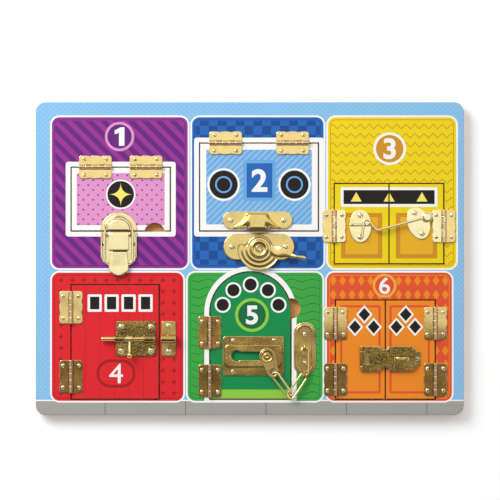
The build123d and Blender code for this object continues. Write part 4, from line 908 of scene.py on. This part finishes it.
def lug_rings(side):
    """A short block under the tongue, on that side, with the bail's end inside it."""
    low, high = box_mm("draw_latch_lever")
    from_middle, top, lug_width, thickness = 7.2, 16.3, 2.2, 2.6
    along = np.linspace(-1.3, -6.5, 12)
    x = (low[0] + high[0]) / 2 + side * from_middle
    spine = np.stack([x + 0.0 * along, along, top + 0.0 * along], -1)
    return ribbon_rings(spine, rightwards, lug_width + 0.0 * along, thickness, 0.0)


skin("draw_lever", "draw_latch_lever", draw_lever_rings(), cast_brass, "draw_latch_lever")
for name, side in (("draw_lug_left", -1.0), ("draw_lug_right", 1.0)):
    skin(name, "draw_latch_lever", lug_rings(side), cast_brass)

# %% [markdown]
# ## Links and a button
#
# A twisted chain's links are long ovals of round wire, wrung a little
# about their own length so that they lie flat in a row. A link's solid
# tells where it lies: the directions in which its points spread most and
# next most are its length and its width. The new link's wire follows that
# oval, and each point is turned about the length by an angle that grows
# from end to end.


# %% The chain's links
def link_rings(node, roll, wring, wire=0.95):
    """A circle of that wire radius carried round an oval, turned by roll + wring x (share of the length)."""
    points = points_of(nodes[node].data) * 1000.0
    # The axes come in order of spread, so the last is the length and the one before it the width.
    _, axes = np.linalg.eigh(np.cov((points - points.mean(0)).T))
    length, width = axes[:, 2] * np.sign(axes[0, 2]), axes[:, 1] * np.sign(axes[1, 1])
    local = points @ np.stack([length, width, np.cross(length, width)], 1)
    middle = (local.min(0) + local.max(0)) / 2
    half_long, half_wide = (local.max(0) - local.min(0))[:2] / 2 - wire
    bend = np.linspace(-np.pi / 2, np.pi / 2, 25)
    run = np.linspace(0.0, 1.0, 24)[1:-1]
    straight = half_long - half_wide
    far = np.stack([straight + half_wide * np.cos(bend), half_wide * np.sin(bend)], 1)
    back = np.stack([straight - 2 * straight * run, half_wide + 0.0 * run], 1)
    path = np.concatenate([far, back, -far, -back])
    ahead = np.roll(path, -1, 0) - np.roll(path, 1, 0)
    ahead = ahead / np.linalg.norm(ahead, axis=1, keepdims=True)
    outward = np.stack([ahead[:, 1], -ahead[:, 0]], 1)
    turn = np.linspace(0.0, 2 * np.pi, 14, endpoint=False)
    flat = path[:, None] + wire * np.cos(turn)[None, :, None] * outward[:, None]
    up = wire * np.sin(turn)[None] + 0.0 * flat[..., 0]
    angle = np.radians(roll) + np.radians(wring) * flat[..., 0] / half_long
    across = flat[..., 1] * np.cos(angle) - up * np.sin(angle)
    lifted = flat[..., 1] * np.sin(angle) + up * np.cos(angle)
    place = np.stack([flat[..., 0] + middle[0], across + middle[1], lifted + middle[2]], -1)
    return place @ np.stack([length, width, np.cross(length, width)])


for letter, roll, wring in (("a", -38.0, 18.0), ("b", 0.0, 16.0), ("c", 0.0, 5.0)):
    link = "chain_link_" + letter
    skin("twisted_link_" + letter, link, link_rings(link, roll, wring), wire_brass, link, joined=True)


# %% The chain's button
def button_rings():
    """A profile (share of the top's radius, depth under the top) carried round the button's middle."""
    low, high = box_mm("chain_slider")
    top_radius = (high[0] - low[0]) / 2
    profile = np.array(
        [
            (0.01, 0.5), (0.1, 0.45), (0.2, 0.15), (0.3, 0.0), (0.38, 0.25), (0.42, 0.95), (0.5, 1.15),
            (0.68, 1.2), (0.78, 1.05), (0.86, 0.75), (0.94, 0.8), (1.0, 1.2), (1.0, 1.9), (0.94, 2.2),
            (0.4, 2.2), (0.4, 7.2), (0.55, 7.3), (0.55, 8.1), (0.01, 8.1),
        ]
    )  # fmt: skip
    round_trip = np.linspace(0.0, 2 * np.pi, 72, endpoint=False)
    radius, height = profile[:, :1] * top_radius, high[2] - profile[:, 1:]
    return carried_round((low + high) / 2, radius, height, round_trip)


skin("chain_button", "chain_slider", button_rings(), cast_brass, "chain_slider")

# %% [markdown]
# ## The numbers
#
# Six plain numerals, one to a door. A numeral starts as a text object,
# which Blender can turn into a mesh. It is swelled a little to look
# hand-cut, laid a twentieth of a millimetre above the paint, as a thick
# white ink is, and rides on the piece it is printed on.

# %% The numerals' ink and outlines
ink_lift = 0.05  # how far the white ink stands above the paint
swelling = {"4": 0.0, "6": 0.014}  # as a share of the text's size; the other numerals take more
usual_swelling = 0.03


def white_ink():
    """Two near whites mixed by a fine cloud, which also varies the sheen a little."""
    made, wire, shader, where, _ = start("white_ink")
    fleck = noise(wire, where, 2200.0, 2.0)
    plug(wire, shader, "Base Color", mix(wire, fleck, paint("#efeeea"), paint("#fbfaf7")))
    plug(wire, shader, "Roughness", 0.34 + fleck * 0.1)
    return made


def glyph(digit):
    """A numeral's flat mesh. The 1 is an outline of its own: a stem and a flag."""
    if digit == "1":
        stem = [(-0.03, 0.0), (0.25, 0.0), (0.25, 1.0), (0.05, 1.0)]
        outline = stem + [(-0.25, 0.83), (-0.25, 0.62), (-0.03, 0.7)]
        mesh = bpy.data.meshes.new("numeral_1")
        mesh.from_pydata([(x, y, 0.0) for x, y in outline], [], [range(len(outline))])
        return mesh
    text = bpy.data.curves.new("numeral_curve_" + digit, "FONT")
    text.body = digit
    text.offset = swelling.get(digit, usual_swelling)
    text.resolution_u = 10
    holder = put("numeral_holder_" + digit, text)
    bpy.context.view_layer.update()
    mesh = bpy.data.meshes.new_from_object(holder.evaluated_get(bpy.context.evaluated_depsgraph_get()))
    bpy.data.objects.remove(holder)
    return mesh


# %% The numerals in their places
numeral_ink = white_ink()
widening = 1.06


def numeral(digit, cx, cy, height, body, slot):
    """One numeral, centred on its own box and scaled to that height in millimetres."""
    mesh = glyph(digit)
    points = points_of(mesh)
    low, high = points.min(0), points.max(0)
    scale = height / (high[1] - low[1])
    flat = (points - (low + high) / 2) * scale * (widening, 1.0, 0.0) + (cx, cy, front + ink_lift)
    mesh.vertices.foreach_set("co", (flat * mm).ravel())
    mesh.update()
    mesh.materials.clear()
    mesh.materials.append(numeral_ink)
    piece = put("numeral_" + digit, mesh)
    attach(piece, body)
    print(piece.name, "is", height, "mm tall and rides on", body)
    return piece


for digit, height, body, slot in (
    ("1", 17.0, "board", "board_paint"),
    ("2", 21.0, "door_2", "door_paint"),
    ("3", 19.5, "board", "board_paint"),
    ("4", 18.0, "door_4", "door_paint"),
    ("5", 17.5, "door_5", "door_paint"),
    ("6", 15.5, "board", "board_paint"),
):
    numeral(digit, *badge_places[digit], height, body, slot)

# %% [markdown]
# ## A small studio
#
# The board lies on a pale table, and the camera looks straight down at
# it. Polished brass shows whatever is above it, so what hangs up there
# matters more than its brightness: a wide soft light over the upper half
# of the board makes the upper latches pale, and the dimmer room over the
# lower half leaves those latches deep gold. A smaller lamp at the upper
# left gives the shadows their direction. Seen by the camera or in brass,
# the table also glows a little, which keeps it pale without more light
# on the board.


# %% The table
def table_material():
    """Two near whites mixed by a wide cloud, with a weak glow added on the rays that show the table."""
    made, wire, shader, where, _ = start("table_white")
    cloud = noise(wire, where, 3.0, 2.0)
    colour = mix(wire, cloud, (0.93, 0.93, 0.93), (0.97, 0.97, 0.97))
    plug(wire, shader, "Base Color", colour)
    plug(wire, shader, "Roughness", 0.85)
    plug(wire, shader, "Specular IOR Level", 0.1)
    rays = ("Is Camera Ray", "Is Glossy Ray", "Is Transmission Ray")
    camera_ray, glossy_ray, clear_ray = [wire.node("ShaderNodeLightPath", output=ray) for ray in rays]
    path = camera_ray.larger(glossy_ray).larger(clear_ray)
    plain = Wire(wire.tree, shader.outputs[0])
    glow = wire.node("ShaderNodeEmission", None, {"Color": (1.0, 1.0, 1.0), "Strength": 0.16})
    lit = wire.node("ShaderNodeAddShader", None, {0: plain, 1: glow})
    seen = wire.node("ShaderNodeMixShader", None, {0: path, 1: plain, 2: lit})
    wire.tree.links.new(seen.socket, wire.tree.nodes["Material Output"].inputs["Surface"])
    return made


table_mesh = bpy.data.meshes.new("table")
reach, table_top = 4.0, -0.0003  # in metres; the top lies a hair under the board
table_mesh.from_pydata(
    [(x, y, table_top) for x, y in ((-reach, -reach), (reach, -reach), (reach, reach), (-reach, reach))],
    [],
    [(0, 1, 2, 3)],
)
table_mesh.materials.append(table_material())
table = put("table", table_mesh)
print("the table is", 2 * reach, "m across")


# %% The room and its lamp
def build_room():
    """A wide soft light overhead and towards the far side, a dark room, and a pale band at the horizon."""
    world = bpy.data.worlds.new("room")
    world.use_nodes = True
    bpy.context.scene.world = world
    wire = Wire(world.node_tree)
    background = world.node_tree.nodes["Background"]
    direction = wire.node("ShaderNodeTexCoord")
    across, along, up = [wire.node("ShaderNodeSeparateXYZ", None, {0: direction}, i) for i in range(3)]
    # Edges as parts of a direction of length 1: 0 is overhead in along and across, level in up.
    near_edge, far_edge, half_wide = -0.035, 0.86, 0.7
    horizon_top, shade_edge = 0.3, -0.22
    softbox = ink((near_edge - along).larger(along - far_edge), 0.05) * ink(abs(across) - half_wide, 0.1)
    band = ink(up - horizon_top, 0.2)
    shade_card = ink(along - shade_edge, 0.06)
    level = 0.25 + softbox * 0.79 - shade_card * 0.14
    strength = level * (1.0 - band) + band * 0.95
    wire.tree.links.new(strength.socket, background.inputs["Strength"])
    background.inputs["Color"].default_value = (1.0, 1.0, 1.0, 1.0)


def lamp(name, place, aim, width, height, watts):
    """A soft rectangular lamp at a place, turned to face its aim."""
    data = bpy.data.lights.new(name, "AREA")
    data.shape = "RECTANGLE"
    data.size, data.size_y, data.energy = width, height, watts
    holder = put(name, data)
    holder.location = place
    towards = np.array(aim) - np.array(place)
    holder.rotation_euler = Vector(towards).to_track_quat("-Z", "Y").to_euler()
    return holder


build_room()
key_lamp = lamp("key_lamp", (-0.9, 0.9, 1.1), aim=(0.0, 0.0, 0.0), width=0.9, height=0.9, watts=21.0)
print(key_lamp.name, "gives", key_lamp.data.energy, "watts")

# %% The camera
sensor_width = 36.0  # in millimetres, as the lens is
camera_height, view_width = 2.2, 0.460  # in metres
camera_data = bpy.data.cameras.new("camera")
camera_data.sensor_width = sensor_width
camera_data.lens = sensor_width * (camera_height - front * mm) / view_width
camera = put("camera", camera_data)
camera.location = (0.0003, 0.0078, camera_height)
bpy.context.scene.camera = camera
bpy.context.scene.view_settings.view_transform = "Standard"
print("the lens is", round(camera_data.lens, 1), "mm long")
